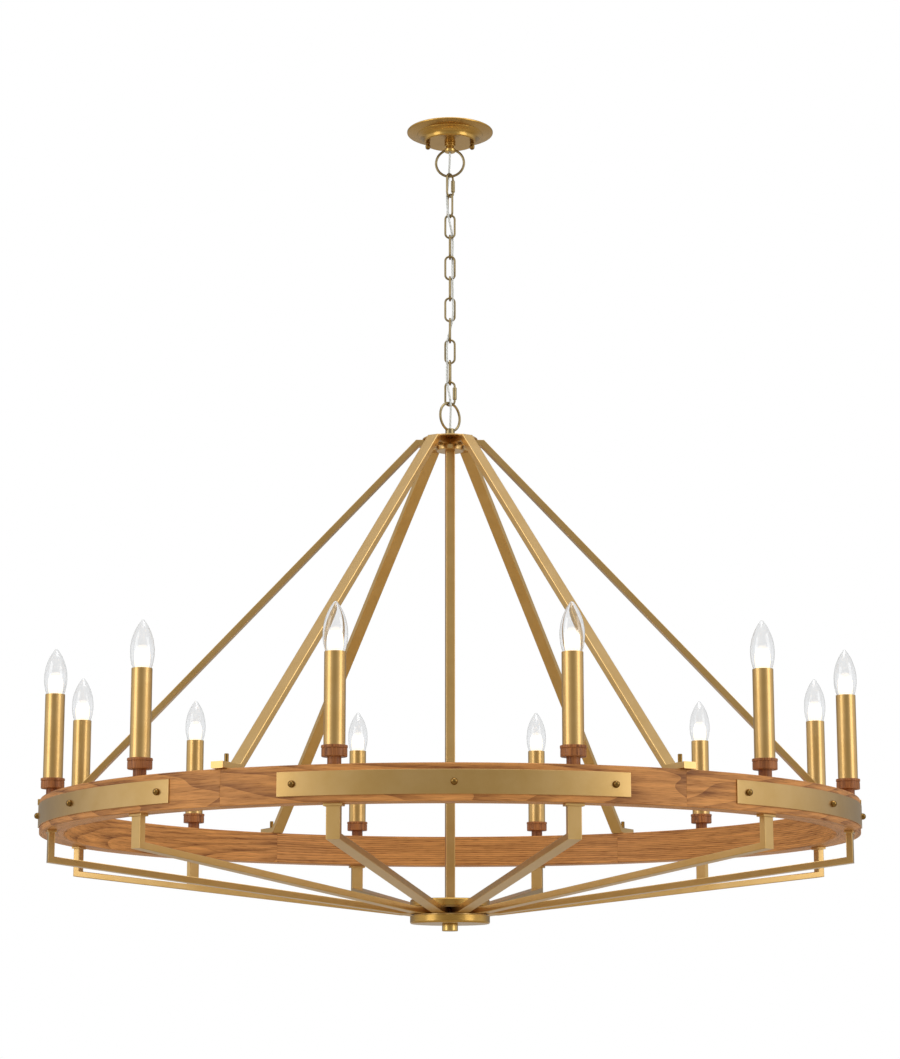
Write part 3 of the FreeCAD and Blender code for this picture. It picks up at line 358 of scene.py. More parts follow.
def round_tube(line, radius, sides=14):
    """A round tube along a line of points, closed at both ends: P = line + radius (cos v n + sin v b), where n is X
    made square to the line, and b is square to both."""
    way = np.gradient(line, axis=0)
    way /= np.linalg.norm(way, axis=1, keepdims=True)
    n = np.array([1.0, 0, 0]) - way[:, :1] * way
    n /= np.linalg.norm(n, axis=1, keepdims=True)
    b = np.cross(way, n)
    v = np.linspace(0, 2 * np.pi, sides, endpoint=False)[None, :, None]
    rows = line[:, None] + radius * (np.cos(v) * n[:, None] + np.sin(v) * b[:, None])
    top, low = 0 * rows[:1] + line[:1, None], 0 * rows[:1] + line[-1:, None]
    length = np.r_[0, np.cumsum(np.linalg.norm(np.diff(line, axis=0), axis=1))][:, None]
    run = xyz(radius * np.cos(v[..., 0]), radius * np.sin(v[..., 0]), length)
    return grid(np.concatenate([top, rows, low]), np.concatenate([run[:1], run, run[-1:]]))


def spline_line(route):
    """Points along the smooth NURBS spline that has the route's points as its control points."""
    curve = bpy.data.curves.new("cord_route", "CURVE")
    curve.dimensions = "3D"
    spline = curve.splines.new("NURBS")
    spline.points.add(len(route) - 1)
    spline.points.foreach_set("co", np.hstack([route, np.ones((len(route), 1))]).ravel())
    spline.order_u = 3
    spline.use_endpoint_u = True
    spline.resolution_u = 20
    holder = bpy.data.objects.new("cord_route", curve)
    bpy.context.scene.collection.objects.link(holder)
    mesh = bpy.data.meshes.new_from_object(holder)
    line = np.zeros(len(mesh.vertices) * 3)
    mesh.vertices.foreach_get("co", line)
    bpy.data.objects.remove(holder)
    bpy.data.curves.remove(curve)
    bpy.data.meshes.remove(mesh)
    line = line.reshape(-1, 3)
    return line[np.argsort(-line[:, 2], kind="stable")]


def on_candles(shape, size):
    """A shape that stands at the origin, copied to the foot of each candle."""
    return spun(shifted(shape, size.candle_circle, 0, -size.ring_drop), CANDLE_TURNS)


def piece(name, shape, finish, nodes=(), body="fixture"):
    """The shape as an object that rides on a body in place of its CAD nodes."""
    points, faces, run = shape
    mesh = bpy.data.meshes.new(name)
    mesh.from_pydata((points / 1000).tolist(), [], faces.tolist())
    marks = mesh.attributes.new("run", "FLOAT_VECTOR", "POINT")
    marks.data.foreach_set("vector", (run / 1000).astype(np.float32).ravel())
    work = bmesh.new()
    work.from_mesh(mesh)
    bmesh.ops.remove_doubles(work, verts=work.verts, dist=1e-6)
    bmesh.ops.recalc_face_normals(work, faces=work.faces)
    work.to_mesh(mesh)
    work.free()
    mesh.shade_smooth()
    mesh.set_sharp_from_angle(angle=SHARP_BEND)
    mesh.materials.append(finish(bpy.context.scene.chandelier_colours))
    made = bpy.data.objects.new(name, mesh)
    bpy.context.scene.collection.objects.link(made)
    made.modifiers.new("even_normals", "WEIGHTED_NORMAL").keep_sharp = True
    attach(made, body)
    if nodes:
        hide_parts(*nodes)
    return made


# ---- finishes ----


def add_node(tree, kind, inputs=None, stops=None, **settings):
    """Add a node of this kind and give its outputs. An input is a value, or the output that feeds it."""
    node = tree.nodes.new(f"ShaderNode{kind}")
    for name, value in settings.items():
        setattr(node, name, value)
    for name, value in (inputs or {}).items():
        if isinstance(value, bpy.types.NodeSocket):
            tree.links.new(value, node.inputs[name])
        else:
            node.inputs[name].default_value = value
    for element, (place, shade) in zip(node.color_ramp.elements if stops else (), stops or ()):
        element.position, element.color = place, (shade, shade, shade, 1)
    return node.outputs


def new_material(name):
    """An empty material and what adds its nodes, or the material of that name that is there."""
    found = bpy.data.materials.get(name)
    if found:
        return found, None
    made = bpy.data.materials.new(name)
    made.use_nodes = True
    made.node_tree.nodes.clear()
    return made, partial(add_node, made.node_tree)


def show(add, inputs):
    """The shader and the output that end a material."""
    shader = add("BsdfPrincipled", inputs)
    add("OutputMaterial", {"Surface": shader["BSDF"]})


def worked_metal(name, pale, deep, smooth, rough, marks=700.0, along_run=True, coat=0.0):
    """A metal with fine marks along its run: they change the roughness and the bump, and the tone drifts slowly."""
    made, add = new_material(name)
    if not add:
        return made
    place = add("TexCoord")["Object"]
    run = add("Attribute", attribute_name="run")["Vector"] if along_run else place
    stretched = add("Mapping", {"Vector": run, "Scale": (9, 9, marks) if along_run else (marks / 2,) * 3})
    fine = add("TexNoise", {"Vector": stretched["Vector"], "Scale": 1.0, "Detail": 3.0})
    drift = add("TexNoise", {"Vector": place, "Scale": 23.0, "Detail": 4.0, "Roughness": 0.6})
    tone = add("Mix", {0: drift["Fac"], 6: (*pale, 1), 7: (*deep, 1)}, data_type="RGBA")
    haze = add("MapRange", {"Value": fine["Fac"], "From Min": 0.3, "From Max": 0.7, "To Min": smooth, "To Max": rough})
    bump = add("Bump", {"Height": fine["Fac"], "Strength": 0.03, "Distance": 0.0001})
    show(add, {
        "Base Color": tone[2], "Metallic": 1.0, "Roughness": haze["Result"],
        "Normal": bump["Normal"], "Coat Weight": coat, "Coat Roughness": 0.1,
    })
    return made


def satin_brass(colours):
    """Brass, brushed and lacquered: soft wide highlights with faint lines along the tube or round the turned form."""
    return worked_metal("brass_brushed_lacquered", colours.brass_pale, colours.brass_deep, 0.28, 0.3, coat=0.15)


def spun_brass(colours):
    """Brass sheet, spun and lacquered: a deeper gold with soft rings of light round the turned form."""
    return worked_metal("brass_spun_lacquered", colours.spun_pale, colours.spun_deep, 0.24, 0.28, coat=0.1)


def polished_brass(colours):
    """Brass, turned and polished: small bright highlights and a clear picture of the room."""
    return worked_metal("brass_turned_polished", colours.polish, colours.brass_deep, 0.13, 0.16, marks=1500.0)


def painted_shade_brass(colours):
    """Brass, turned, in a darker copy of the brass colour: painted shade for the dark room that the small domed heads
    mirror. A brown metal that keeps a small clear highlight.
    """
    return worked_metal("brass_turned_painted_shade", colours.painted_shade_pale, colours.painted_shade_deep, 0.12, 0.2, marks=1500.0)


def plain_brass(colours):
    """Brass bar, machined: the same metal on the nut that comes from the CAD model."""
    return worked_metal("brass_machined", colours.brass_pale, colours.brass_deep, 0.2, 0.3, along_run=False)


def plated_chain(colours):
    """Steel wire, bent, welded and brass plated: a greyer brass, rubbed paler in places."""
    return worked_metal("steel_wire_brass_plated", colours.chain_pale, colours.chain_deep, 0.2, 0.27, marks=500.0)


def plated_steel(colours):
    """Mild steel, zinc plated: a grey metal with flakes a few millimetres wide that shine unlike each other."""
    made, add = new_material("steel_zinc_plated")
    if not add:
        return made
    place = add("TexCoord")["Object"]
    flakes = add("TexVoronoi", {"Vector": place, "Scale": 340.0})
    share = add("RGBToBW", {"Color": flakes["Color"]})["Val"]
    tone = add("Mix", {0: share, 6: (*colours.zinc_pale, 1), 7: (*colours.zinc_deep, 1)}, data_type="RGBA")
    haze = add("MapRange", {"Value": share, "To Min": 0.28, "To Max": 0.46})
    show(add, {"Base Color": tone[2], "Metallic": 1.0, "Roughness": haze["Result"]})
    return made


def sawn_oak(name, pale, dark, place_name, turn, ring_mm, gloss):
    """Oak with a satin oil finish. Growth rings are shells round a pith that lies beside the board, so a ring's
    number is the distance from it over the ring's width; each ring darkens at its spring pores. Long dark pores
    run along the grain, and the tone drifts in streaks a hand long."""
    made, add = new_material(name)
    if not add:
        return made
    place = add("Attribute", attribute_name="run")["Vector"] if place_name == "run" else add("TexCoord")["Object"]
    board = add("Mapping", {"Vector": place, "Rotation": turn})["Vector"]
    slow = add("Mapping", {"Vector": board, "Scale": (3, 20, 20)})["Vector"]
    sway = add("TexNoise", {"Vector": slow, "Scale": 1.0, "Detail": 1.0})
    sway = add("VectorMath", {0: sway["Color"], 1: (0.5, 0.5, 0.5)}, operation="SUBTRACT")["Vector"]
    swayed = add("VectorMath", {0: sway, 1: (0.0, 0.007, 0.007), 2: board}, operation="MULTIPLY_ADD")["Vector"]
    leaning = add("Mapping", {"Vector": swayed, "Rotation": (0, 0.03, 0.02), "Location": (0, 0.015, 0.11)})
    across = add("VectorMath", {0: leaning["Vector"], 1: (0, 1, 1)}, operation="MULTIPLY")["Vector"]
    away = add("VectorMath", {0: across}, operation="LENGTH")["Value"]
    number = add("Math", {0: away, 1: 1000 / ring_mm}, operation="MULTIPLY")["Value"]
    year = add("Math", {0: number}, operation="FRACT")["Value"]
    spring = add("ValToRGB", {"Fac": year}, stops=((0.0, 0.6), (0.5, 0.18)))["Color"]
    thin = add("Mapping", {"Vector": board, "Scale": (45, 1500, 1500)})["Vector"]
    pores = add("TexNoise", {"Vector": thin, "Scale": 1.0, "Detail": 2.0})["Fac"]
    pores = add("MapRange", {"Value": pores, "From Min": 0.5, "From Max": 0.72})["Result"]
    streaks = add("Mapping", {"Vector": board, "Scale": (7, 170, 170)})["Vector"]
    drift = add("TexNoise", {"Vector": streaks, "Scale": 1.0, "Detail": 3.0, "Roughness": 0.6})["Fac"]
    ends = {"Value": drift, "From Min": 0.3, "From Max": 0.7, "To Min": -0.2, "To Max": 0.34}
    drift = add("MapRange", ends)["Result"]
    share = add("Math", {0: pores, 1: 0.45, 2: spring}, operation="MULTIPLY_ADD")["Value"]
    share = add("Math", {0: share, 1: drift}, operation="ADD", use_clamp=True)["Value"]
    tone = add("Mix", {0: share, 6: (*pale, 1), 7: (*dark, 1)}, data_type="RGBA")[2]
    haze = add("MapRange", {"Value": pores, "To Min": gloss, "To Max": gloss + 0.2})["Result"]
    sunk = add("Math", {0: pores, 1: -1.0}, operation="MULTIPLY")["Value"]
    bump = add("Bump", {"Height": sunk, "Strength": 0.25, "Distance": 0.0002})["Normal"]
    show(add, {"Base Color": tone, "Roughness": haze, "Normal": bump, "IOR": 1.5, "Specular IOR Level": 0.3})
    return made


def ring_oak(colours):
    """Oak boards, sawn curved and oiled: straight grain that the curved faces cut into long arches."""
    return sawn_oak("oak_sawn_oiled", colours.oak_pale, colours.oak_dark, "run", (0, 0, 0), 2.5, 0.42)


def cup_oak(colours):
    """Oak, turned and stained: grain that stands upright in the cups, darker than the ring."""
    return sawn_oak("oak_turned_stained", colours.cup_pale, colours.cup_dark, "Object", (0, math.pi / 2, 0), 2.2, 0.35)


def cord_plastic(colours):
    """PVC, extruded clear over two twisted tinned wires: a milky gloss with slanting darker lines, 12 mm a turn."""
    made, add = new_material("pvc_extruded_clear")
    if not add:
        return made
    run = add("SeparateXYZ", {0: add("Attribute", attribute_name="run")["Vector"]})
    angle = add("Math", {0: run["Y"], 1: run["X"]}, operation="ARCTAN2")["Value"]
    pitch = 0.012
    phase = add("Math", {0: run["Z"], 1: 2 * math.pi / pitch, 2: angle}, operation="MULTIPLY_ADD")["Value"]
    twist = add("Math", {0: phase, 1: 2.0}, operation="MULTIPLY")["Value"]
    twist = add("Math", {0: twist}, operation="SINE")["Value"]
    ends = {"Value": twist, "From Min": -1.0, "From Max": 1.0, "To Min": 0.05, "To Max": 0.6}
    share = add("MapRange", ends)["Result"]
    tone = add("Mix", {0: share, 6: (*colours.jacket, 1), 7: (*colours.wire, 1)}, data_type="RGBA")[2]
    show(add, {
        "Base Color": tone, "Roughness": 0.22, "IOR": 1.53, "Coat Weight": 0.6, "Coat Roughness": 0.06,
        "Transmission Weight": 0.15,
    })
    return made


def socket_plastic(colours):
    """Phenolic, compression moulded: a dark brown with a dull skin and a fine grain from the filler."""
    made, add = new_material("phenolic_moulded")
    if not add:
        return made
    place = add("TexCoord")["Object"]
    grain = add("TexNoise", {"Vector": place, "Scale": 900.0, "Detail": 2.0})["Fac"]
    darker = tuple(0.55 * c for c in colours.moulding)
    tone = add("Mix", {0: grain, 6: (*colours.moulding, 1), 7: (*darker, 1)}, data_type="RGBA")[2]
    haze = add("MapRange", {"Value": grain, "To Min": 0.38, "To Max": 0.55})["Result"]
    show(add, {"Base Color": tone, "Roughness": haze, "IOR": 1.6})
    return made


def bulb_glass(colours):
    """Soda lime glass, blown clear: a thin shell that shows as a grey line round the bulb, with faint waves."""
    made, add = new_material("glass_blown_clear")
    if not add:
        return made
    place = add("TexCoord")["Object"]
    waves = add("TexNoise", {"Vector": place, "Scale": 60.0, "Detail": 1.0})["Fac"]
    haze = add("MapRange", {"Value": waves, "To Min": 0.0, "To Max": 0.03})["Result"]
    bump = add("Bump", {"Height": waves, "Strength": 0.02, "Distance": 0.0005})["Normal"]
    show(add, {
        "Base Color": (0.9, 0.905, 0.91, 1), "Roughness": haze, "Normal": bump, "IOR": 1.5, "Transmission Weight": 1.0,
    })
    return made


def lit_core(colours):
    """The lit lamp inside the bulb: a white glow, a little warmer towards its foot, that fades out at its top."""
    made, add = new_material("lamp_core_lit")
    if not add:
        return made
    height = add("SeparateXYZ", {0: add("TexCoord")["Object"]})["Z"]
    share = add("MapRange", {"Value": height, "From Min": -0.96, "From Max": -0.9})["Result"]
    warm = tuple(c * k for c, k in zip(colours.glow, (1.0, 0.9, 0.76)))
    tone = add("Mix", {0: share, 6: (*warm, 1), 7: (*colours.glow, 1)}, data_type="RGBA")[2]
    ends = {"Value": height, "From Min": -0.9125, "From Max": -0.94}
    fade = add("MapRange", ends, interpolation_type="SMOOTHSTEP")["Result"]
    show(add, {"Base Color": tone, "Roughness": 0.6, "Emission Color": tone, "Emission Strength": 1.3, "Alpha": fade})
    return made


# ---- pieces, from the ceiling down ----


class PieceMaker:
    """What the pieces' operators share: each makes its pieces from the panel's sizes, in millimetres."""

    def execute(self, context):
        self.make(in_millimetres(context))
        return {"FINISHED"}


class CHANDELIER_OT_canopy(PieceMaker, bpy.types.Operator):
    """Make the spun canopy, its two ball nuts and the screw collar"""

    bl_idname = "chandelier.canopy"
    bl_label = "Canopy"

    def make(self, size):
        rim, flat = size.canopy_radius, -size.canopy_depth
        dish = lathe([
            (6.7, flat, 0.15), (42.45, flat, 2.2), (43.3, -9.6, 8.3), (53, -7.15, 1.0), (53.2, -6.0, 0.35),
            (rim - 1.6, -3.85, 0.5), (rim, -3.75, 1.4), (rim, -0.55, 1.4), (rim - 1.8, -0.5, 0.15),
            (rim - 2.8, -0.5, 0.15), (rim - 2.8, -2.75, 0.5), (51.9, -4.85, 0.4), (51.6, -6.3, 0.4),
            (42.2, -8.5, 7.0), (41.2, flat + 1.2, 1.0), (6.7, flat + 1.2, 0.15),
        ], around=160, steps=9, ring=True)
        piece("canopy_dish", dish, spun_brass, ["canopy"], "ceiling")
        ball = lathe([
            (0, flat, 0), (3.6, flat, 0.25), (3.6, flat - 1.6, 0.3), (2.7, flat - 2.0, 0.5), (2.7, flat - 3.4, 0.5),
            (4.0, flat - 4.4, 0.9), (4.25, flat - 7.2, 2.4), (3.2, flat - 10.6, 2.2), (1.2, flat - 11.0, 1.0),
            (0, flat - 11.0, 0),
        ], around=40, steps=8)
        balls = together(*(shifted(ball, x=side * size.knob_spacing / 2) for side in (-1, 1)))
        piece("ball_nuts", balls, painted_shade_brass, ["canopy_knobs"], "ceiling")
        collar = lathe([
            (6.65, flat, 0.15), (9, flat, 0.3), (9, flat - 2.6, 0.3), (8.75, flat - 3.0, 0.2), (9, flat - 3.4, 0.3),
            (9, flat - 6.5, 0.9), (6.65, flat - 6.5, 0.2),
        ], around=64, ring=True)
        piece("collar_nut", collar, polished_brass, ["screw_collar"], "ceiling")


class CHANDELIER_OT_canopy_loop(PieceMaker, bpy.types.Operator):
    """Make the large loop under the canopy, with its flange and hollow stem"""

    bl_idname = "chandelier.canopy_loop"
    bl_label = "Canopy loop"

    def make(self, size):
        stem = lathe([
            (2.5, -36, 0.3), (9, -36, 1.6), (9, -30.5, 0.5), (6.5, -30.5, 0.4), (6.5, -14, 0.5), (5.02, -14, 0.2),
            (5.02, -26, 0.2), (2.5, -26, 0.2),
        ], around=56, ring=True)
        loop = upright_loop(size.loop_radius, size.loop_radius, size.loop_wire, -6, -size.canopy_loop_drop, 48, 20)
        piece("canopy_loop_stem", stem, polished_brass, ["canopy_loop"], "ceiling")
        piece("canopy_loop_wire", loop, plated_chain, ["canopy_loop"], "ceiling")


class CHANDELIER_OT_chain(PieceMaker, bpy.types.Operator):
    """Make the eleven links of the chain, the first and last with a threaded sleeve"""

    bl_idname = "chandelier.chain"
    bl_label = "Chain"

    def make(self, size):
        sleeve = lathe([
            (0, -10, 0), (2.6, -10, 0.3), (3.25, -9.3, 0.3), (3.25, 9.3, 0.3), (2.6, 10, 0.3), (0, 10, 0),
        ], around=28)
        for number, turn in enumerate(LINK_TURNS, 1):
            middle = -size.chain_top - size.link_half_length - size.link_step * (number - 1)
            shape = upright_loop(size.link_half_width, size.link_half_length, size.link_wire, turn, middle)
            if number in QUICK_LINKS:
                shape = together(shape, spun(shifted(sleeve, x=size.link_half_width, z=middle), turn))
            name = f"link_{number:02d}"
            piece(f"{name}_wire", shape, plated_chain, [f"chain_{name}"], name)


class CHANDELIER_OT_cord(PieceMaker, bpy.types.Operator):
    """Make the supply cord, woven through the chain, in one stretch for each body that it hangs in"""

    bl_idname = "chandelier.cord"
    bl_label = "Supply cord"

    def make(self, size):
        heights = -(size.chain_top + size.loop_wire + size.link_step * np.arange(len(CROSSINGS))) / 1000
        route = np.column_stack([np.array(CROSSINGS), heights])
        route = np.vstack([(0, 0, -0.002), (0, 0, -0.044), route, (0.0003, -0.0006, -0.487), (0, 0, -0.517)])
        line = spline_line(route) * 1000
        spare = 0.2  # Points of the line nearer than this to a cut would only crowd it.
        bends = size.chain_top + 2 * size.link_half_length + size.link_step * np.arange(len(LINK_TURNS))
        hinges = -np.r_[size.chain_top + 2 * size.loop_wire, bends]
        hinges[-1] += size.cord_lift
        tops, lows = np.r_[line[0, 2], hinges + size.cord_lap], np.r_[hinges - size.cord_lap, line[-1, 2]]
        for number, (body, top, low) in enumerate(zip(BODIES, tops, lows), 1):
            inside = line[(line[:, 2] < top - spare) & (line[:, 2] > low + spare)]
            cut = [[np.interp(-z, -line[:, 2], line[:, axis]) for axis in (0, 1)] + [z] for z in (top, low)]
            stretch = np.vstack([cut[:1], inside, cut[1:]])
            name = f"cord_stretch_{number:02d}"
            piece(name, round_tube(stretch, size.cord_radius), cord_plastic, ["supply_cord"], body)


class CHANDELIER_OT_upper_hub(PieceMaker, bpy.types.Operator):
    """Make the upper hub: its loop and boss, the plate over the arms and the drum under them"""

    bl_idname = "chandelier.upper_hub"
    bl_label = "Upper hub"

    def make(self, size):
        boss = lathe([
            (3, -560, 0.2), (5, -560, 0.4), (5, -511.5, 0.3), (7.5, -511.5, 0.6), (7.5, -499.5, 1.4), (3, -499.5, 0.4),
        ], around=48, ring=True)
        loop = upright_loop(size.loop_radius, size.loop_radius, size.loop_wire, 47, -size.hub_loop_drop, 48, 20)
        piece("hub_loop_casting", together(boss, loop), plated_chain, ["hub_loop"])
        plate = lathe([
            (5.1, -516.5, 0.2), (size.top_plate_radius, -516.5, 0.7), (size.top_plate_radius, PLATE_LOW, 0.7),
            (5.1, PLATE_LOW, 0.2),
        ], around=120, ring=True)
        piece("arm_plate", plate, satin_brass, ["hub_top_plate"])
        drum = lathe([
            (5.1, DRUM_LOW, 0.2), (size.drum_radius, DRUM_LOW, 1.2), (size.drum_radius, DRUM_RIM, 0.5),
            (16, DRUM_RIM, 0.3), (16, PLATE_LOW - 0.05, 0.2), (5.1, PLATE_LOW - 0.05, 0.2),
        ], around=80, ring=True)
        piece("arm_drum", drum, satin_brass, ["hub_drum"])


class CHANDELIER_OT_upper_arms(PieceMaker, bpy.types.Operator):
    """Make the six flat tubes that slope from the upper hub down to the ring"""

    bl_idname = "chandelier.upper_arms"
    bl_label = "Upper arms"

    def make(self, size):
        stub, foot = PLATE_LOW - size.arm_thick / 2, -size.ring_drop + size.arm_thick / 2
        way = [(17.3, stub), (52, stub), (592.05, foot), (638, foot)]
        arm = flat_tube(way, size.arm_width, size.arm_thick, size.arm_wall, closed_by=size.arm_wall)
        for number, turn in enumerate(ARM_TURNS, 1):
            piece(f"arm_tube_{number}", spun(arm, turn), satin_brass, [f"upper_arm_{number}"])
        stud = lathe([(0, -29, 0), (3.1, -29, 0.5), (3.1, 22, 1.3), (0, 22, 0)], around=28, steps=6)
        screw = lathe([
            (0, -2.4, 0), (3.3, -2.4, 1.2), (3.3, 0, 0.2), (1.75, 0, 0.2), (1.75, 11.3, 0.3), (0, 11.3, 0),
        ], around=24, steps=6)
        bolts = spun(together(shifted(stud, 615, 0, -size.ring_drop), shifted(screw, 30, 0, DRUM_RIM)), ARM_TURNS)
        piece("arm_studs_and_screws", bolts, painted_shade_brass, ["arm_bolts"])


class CHANDELIER_OT_rod(PieceMaker, bpy.types.Operator):
    """Make the square tube between the two hubs"""

    bl_idname = "chandelier.rod"
    bl_label = "Centre rod"

    def make(self, size):
        way = [(0, DRUM_LOW), (0, PAN_HIGH)]
        rod = flat_tube(way, size.rod_side, size.rod_side, size.arm_wall, corner=1.3, closed_by=0.6)
        piece("rod_tube", spun(rod, 10), satin_brass, ["centre_rod"])


class CHANDELIER_OT_ring(PieceMaker, bpy.types.Operator):
    """Make the six curved oak boards of the ring"""

    bl_idname = "chandelier.ring"
    bl_label = "Oak ring"

    def make(self, size):
        top = -size.ring_drop
        bar = curved_bar(size.ring_inner, size.ring_outer, top - size.ring_height, top, 1.3, 0.35, 60, rows=64)
        # The run is the board's own grain: along the curve, out from its inner face and up.
        x, y, z = bar[0].T
        along, out = np.arctan2(y, x) * size.ring_outer, np.hypot(x, y) - size.ring_inner
        for number in range(1, 7):
            board = np.column_stack([along + 700 * number, out + 23 * number, z - top + 19 * (number % 3)])
            name = f"ring_segment_{number}"
            piece(f"ring_board_{number}", spun((*bar[:2], board), 60 * number - 30), ring_oak, [name])


class CHANDELIER_OT_band(PieceMaker, bpy.types.Operator):
    """Make the six curved brass plates round the ring and their round headed screws"""

    bl_idname = "chandelier.band"
    bl_label = "Band plates"

    def make(self, size):
        middle, face = -size.ring_drop - size.ring_height / 2, size.ring_outer + size.plate_thick
        low, high = middle - size.plate_height / 2, middle + size.plate_height / 2
        plate = curved_bar(size.ring_outer, face, low, high, 0.5, 0.45, size.plate_angle, rows=48)
        piece("band_strips", spun(plate, PLATE_TURNS), satin_brass, ["band_plates"])
        rise = np.sqrt(1 - np.linspace(0, 1, 9) ** 2) * 4.5 + 1.5
        dome = [(radius, face + high, 0.0) for radius, high in zip(np.linspace(0, 4.9, 9), rise)]
        shank = [(4.9, face, 0.2), (2.2, face, 0.2), (2.2, size.ring_outer - 21, 0.4), (0, size.ring_outer - 25, 0)]
        screw = laid_out(lathe(dome + shank, around=32, steps=4))
        turns = (PLATE_TURNS[:, None] + np.array([-20, 0, 20])).ravel()
        piece("band_screws", spun(shifted(screw, z=middle), turns), painted_shade_brass, ["plate_screws"])


class CHANDELIER_OT_candles(PieceMaker, bpy.types.Operator):
    """Make the twelve turned cups and brass sleeves"""

    bl_idname = "chandelier.candles"
    bl_label = "Cups and sleeves"

    def make(self, size):
        rim = size.cup_radius
        cup = lathe([
            (5.2, 0, 0.15), (9.5, 0, 0.3), (9.5, 10.5, 0.5), (rim - 0.5, 10.5, 1.3), (rim - 0.5, 20.9, 0.4),
            (rim - 1.1, 21.5, 0.35), (rim - 1.0, 22.1, 0.25), (rim, 22.2, 0.4), (rim, 26, 0.8), (15, 26, 0.4),
            (15, 24, 0.15), (5.2, 24, 0.15),
        ], around=56, ring=True)
        piece("turned_cups", on_candles(cup, size), cup_oak, ["candle_cups"])
        outer, inner, top = size.sleeve_radius, size.sleeve_radius - 0.8, size.sleeve_rise
        sleeve = lathe([
            (inner, 24, 0.1), (outer, 24, 0.1), (outer, top, 0.3), (inner, top, 0.3),
        ], around=56, ring=True)
        piece("sleeve_tubes", on_candles(sleeve, size), satin_brass, ["candle_sleeves"])


class CHANDELIER_OT_bulbs(PieceMaker, bpy.types.Operator):
    """Make the twelve lit bulbs: a thin glass shell, the lamp's glow and the screw base"""

    bl_idname = "chandelier.bulbs"
    bl_label = "Bulbs"

    def make(self, size):
        belly = 176.2

        def glass(inset):
            """Half the bulb's outline from its neck to its tip: r = belly - R + sqrt(R^2 - (z - z_belly)^2), with R
            74 below the belly and 72.6 above it, then a small round tip. The inset makes the inner face."""
            z = np.linspace(152.2, 220 - inset * 0.6, 26)
            big = np.where(z < belly, 74.0, 72.6)
            r = size.bulb_radius - inset - big + np.sqrt(big ** 2 - (z - belly) ** 2)
            a = np.linspace(math.radians(37), math.pi / 2, 7)[1:]
            tip_r, tip_z = (3.13 - inset * 0.7) * np.cos(a), 218.117 + (3.13 - inset) * np.sin(a)
            neck_r, neck_z = np.array([6, 6, 9.5]) - inset, (134.6, 136.5, 144)
            return np.column_stack([np.r_[neck_r, r, tip_r], np.r_[neck_z, z, tip_z]])

        outer, inner = glass(0.0), glass(0.6)
        outer[-1, 0] = inner[-1, 0] = 0
        t = np.linspace(0, 2 * np.pi, 40, endpoint=False)
        r, z = np.vstack([outer[::-1], inner]).T[:, :, None]
        points = xyz(r * np.cos(t), r * np.sin(t), z)
        piece("bulb_shells", on_candles(grid(points, points), size), bulb_glass, ["bulbs"])
        core = lathe([
            (0, 146, 0), (7, 146, 2), (10.2, 156, 5), (11.6, 168, 8), (9.0, 180, 7), (3.6, 187, 4), (0, 189, 0),
        ], around=32, steps=8)
        piece("bulb_cores", on_candles(core, size), lit_core)
        # The screw base has four and a half ridges: r = 5.75 + 0.25 cos(4.5 a), with a over one turn.
        thread = [(5.75 + 0.25 * math.cos(4.5 * 2 * math.pi * a), 121 + 13 * a, 0.0) for a in np.linspace(0, 1, 29)]
        base = lathe([
            (0, 117.7, 0), (2.6, 117.7, 0.5), (3.0, 119.4, 0.4), (5.2, 120.2, 0.4), *thread, (5.4, 134.5, 0.1),
            (0, 134.5, 0),
        ], around=32, steps=3)
        piece("bulb_bases", on_candles(base, size), polished_brass)


class CHANDELIER_OT_lower_arms(PieceMaker, bpy.types.Operator):
    """Make the twelve flat tubes from the lower hub out to the candles, with their end plates"""

    bl_idname = "chandelier.lower_arms"
    bl_label = "Lower arms"

    def make(self, size):
        out, under, hub = size.candle_circle, -size.ring_drop - size.ring_height, -size.lower_arm_drop
        way = [(37, hub), (79.7, hub), (out, -1195.3), (out, under - 4)]
        arm = flat_tube(way, size.arm_width, size.arm_thick, size.arm_wall, closed_by=0.1)
        plate = shifted(slab(14, 27, under - 4, under - 0.02, 1.2, 0.5), x=out)
        for number, turn in enumerate(CANDLE_TURNS, 1):
            shape = spun(together(arm, plate), turn)
            piece(f"lower_tube_{number:02d}", shape, satin_brass, [f"lower_arm_{number:02d}"])


class CHANDELIER_OT_lower_hub(PieceMaker, bpy.types.Operator):
    """Make the lower hub: two pressed pans, the spool between them and the cap nut"""

    bl_idname = "chandelier.lower_hub"
    bl_label = "Lower hub"

    def make(self, size):
        rim = size.pan_radius
        for name, node, face, edge, inward in (
            ("pan_over_arms", "lower_hub_top_pan", PAN_HIGH, -1256, -1),
            ("pan_under_arms", "lower_hub_bottom_pan", PAN_LOW, -1270, 1),
        ):
            pan = lathe([
                (5.1, face, 0.2), (rim, face, 3.2), (rim, edge, 0.35), (rim - 1.5, edge, 0.35),
                (rim - 1.5, face + 1.5 * inward, 1.7), (5.1, face + 1.5 * inward, 0.2),
            ], around=140, steps=9, ring=True)
            piece(name, pan, spun_brass, [node])
        high, low = -size.lower_arm_drop + size.arm_thick / 2, -size.lower_arm_drop - size.arm_thick / 2
        spool = lathe([
            (3, -1289, 0.2), (5, -1289, 0.2), (5, -1280.5, 0.2), (12, -1280.5, 0.2), (12, low - 2, 0.3),
            (56, low - 2, 0.3), (56, low, 0.3), (12, low, 0.3), (12, high, 0.3), (56, high, 0.3), (56, high + 2, 0.3),
            (12, high + 2, 0.3), (12, -1246.2, 0.2), (5, -1246.2, 0.2), (5, -1225, 0.3), (3, -1225, 0.2),
        ], around=96, ring=True)
        piece("arm_spool", spool, satin_brass, ["hub_spool"])
        cap = lathe([
            (0, PAN_LOW, 0), (size.finial_radius, PAN_LOW, 0.9), (size.finial_radius, -1293, 1.3), (0, -1293, 0),
        ], around=64, steps=7)
        piece("cap_nut", cap, polished_brass, ["finial"])


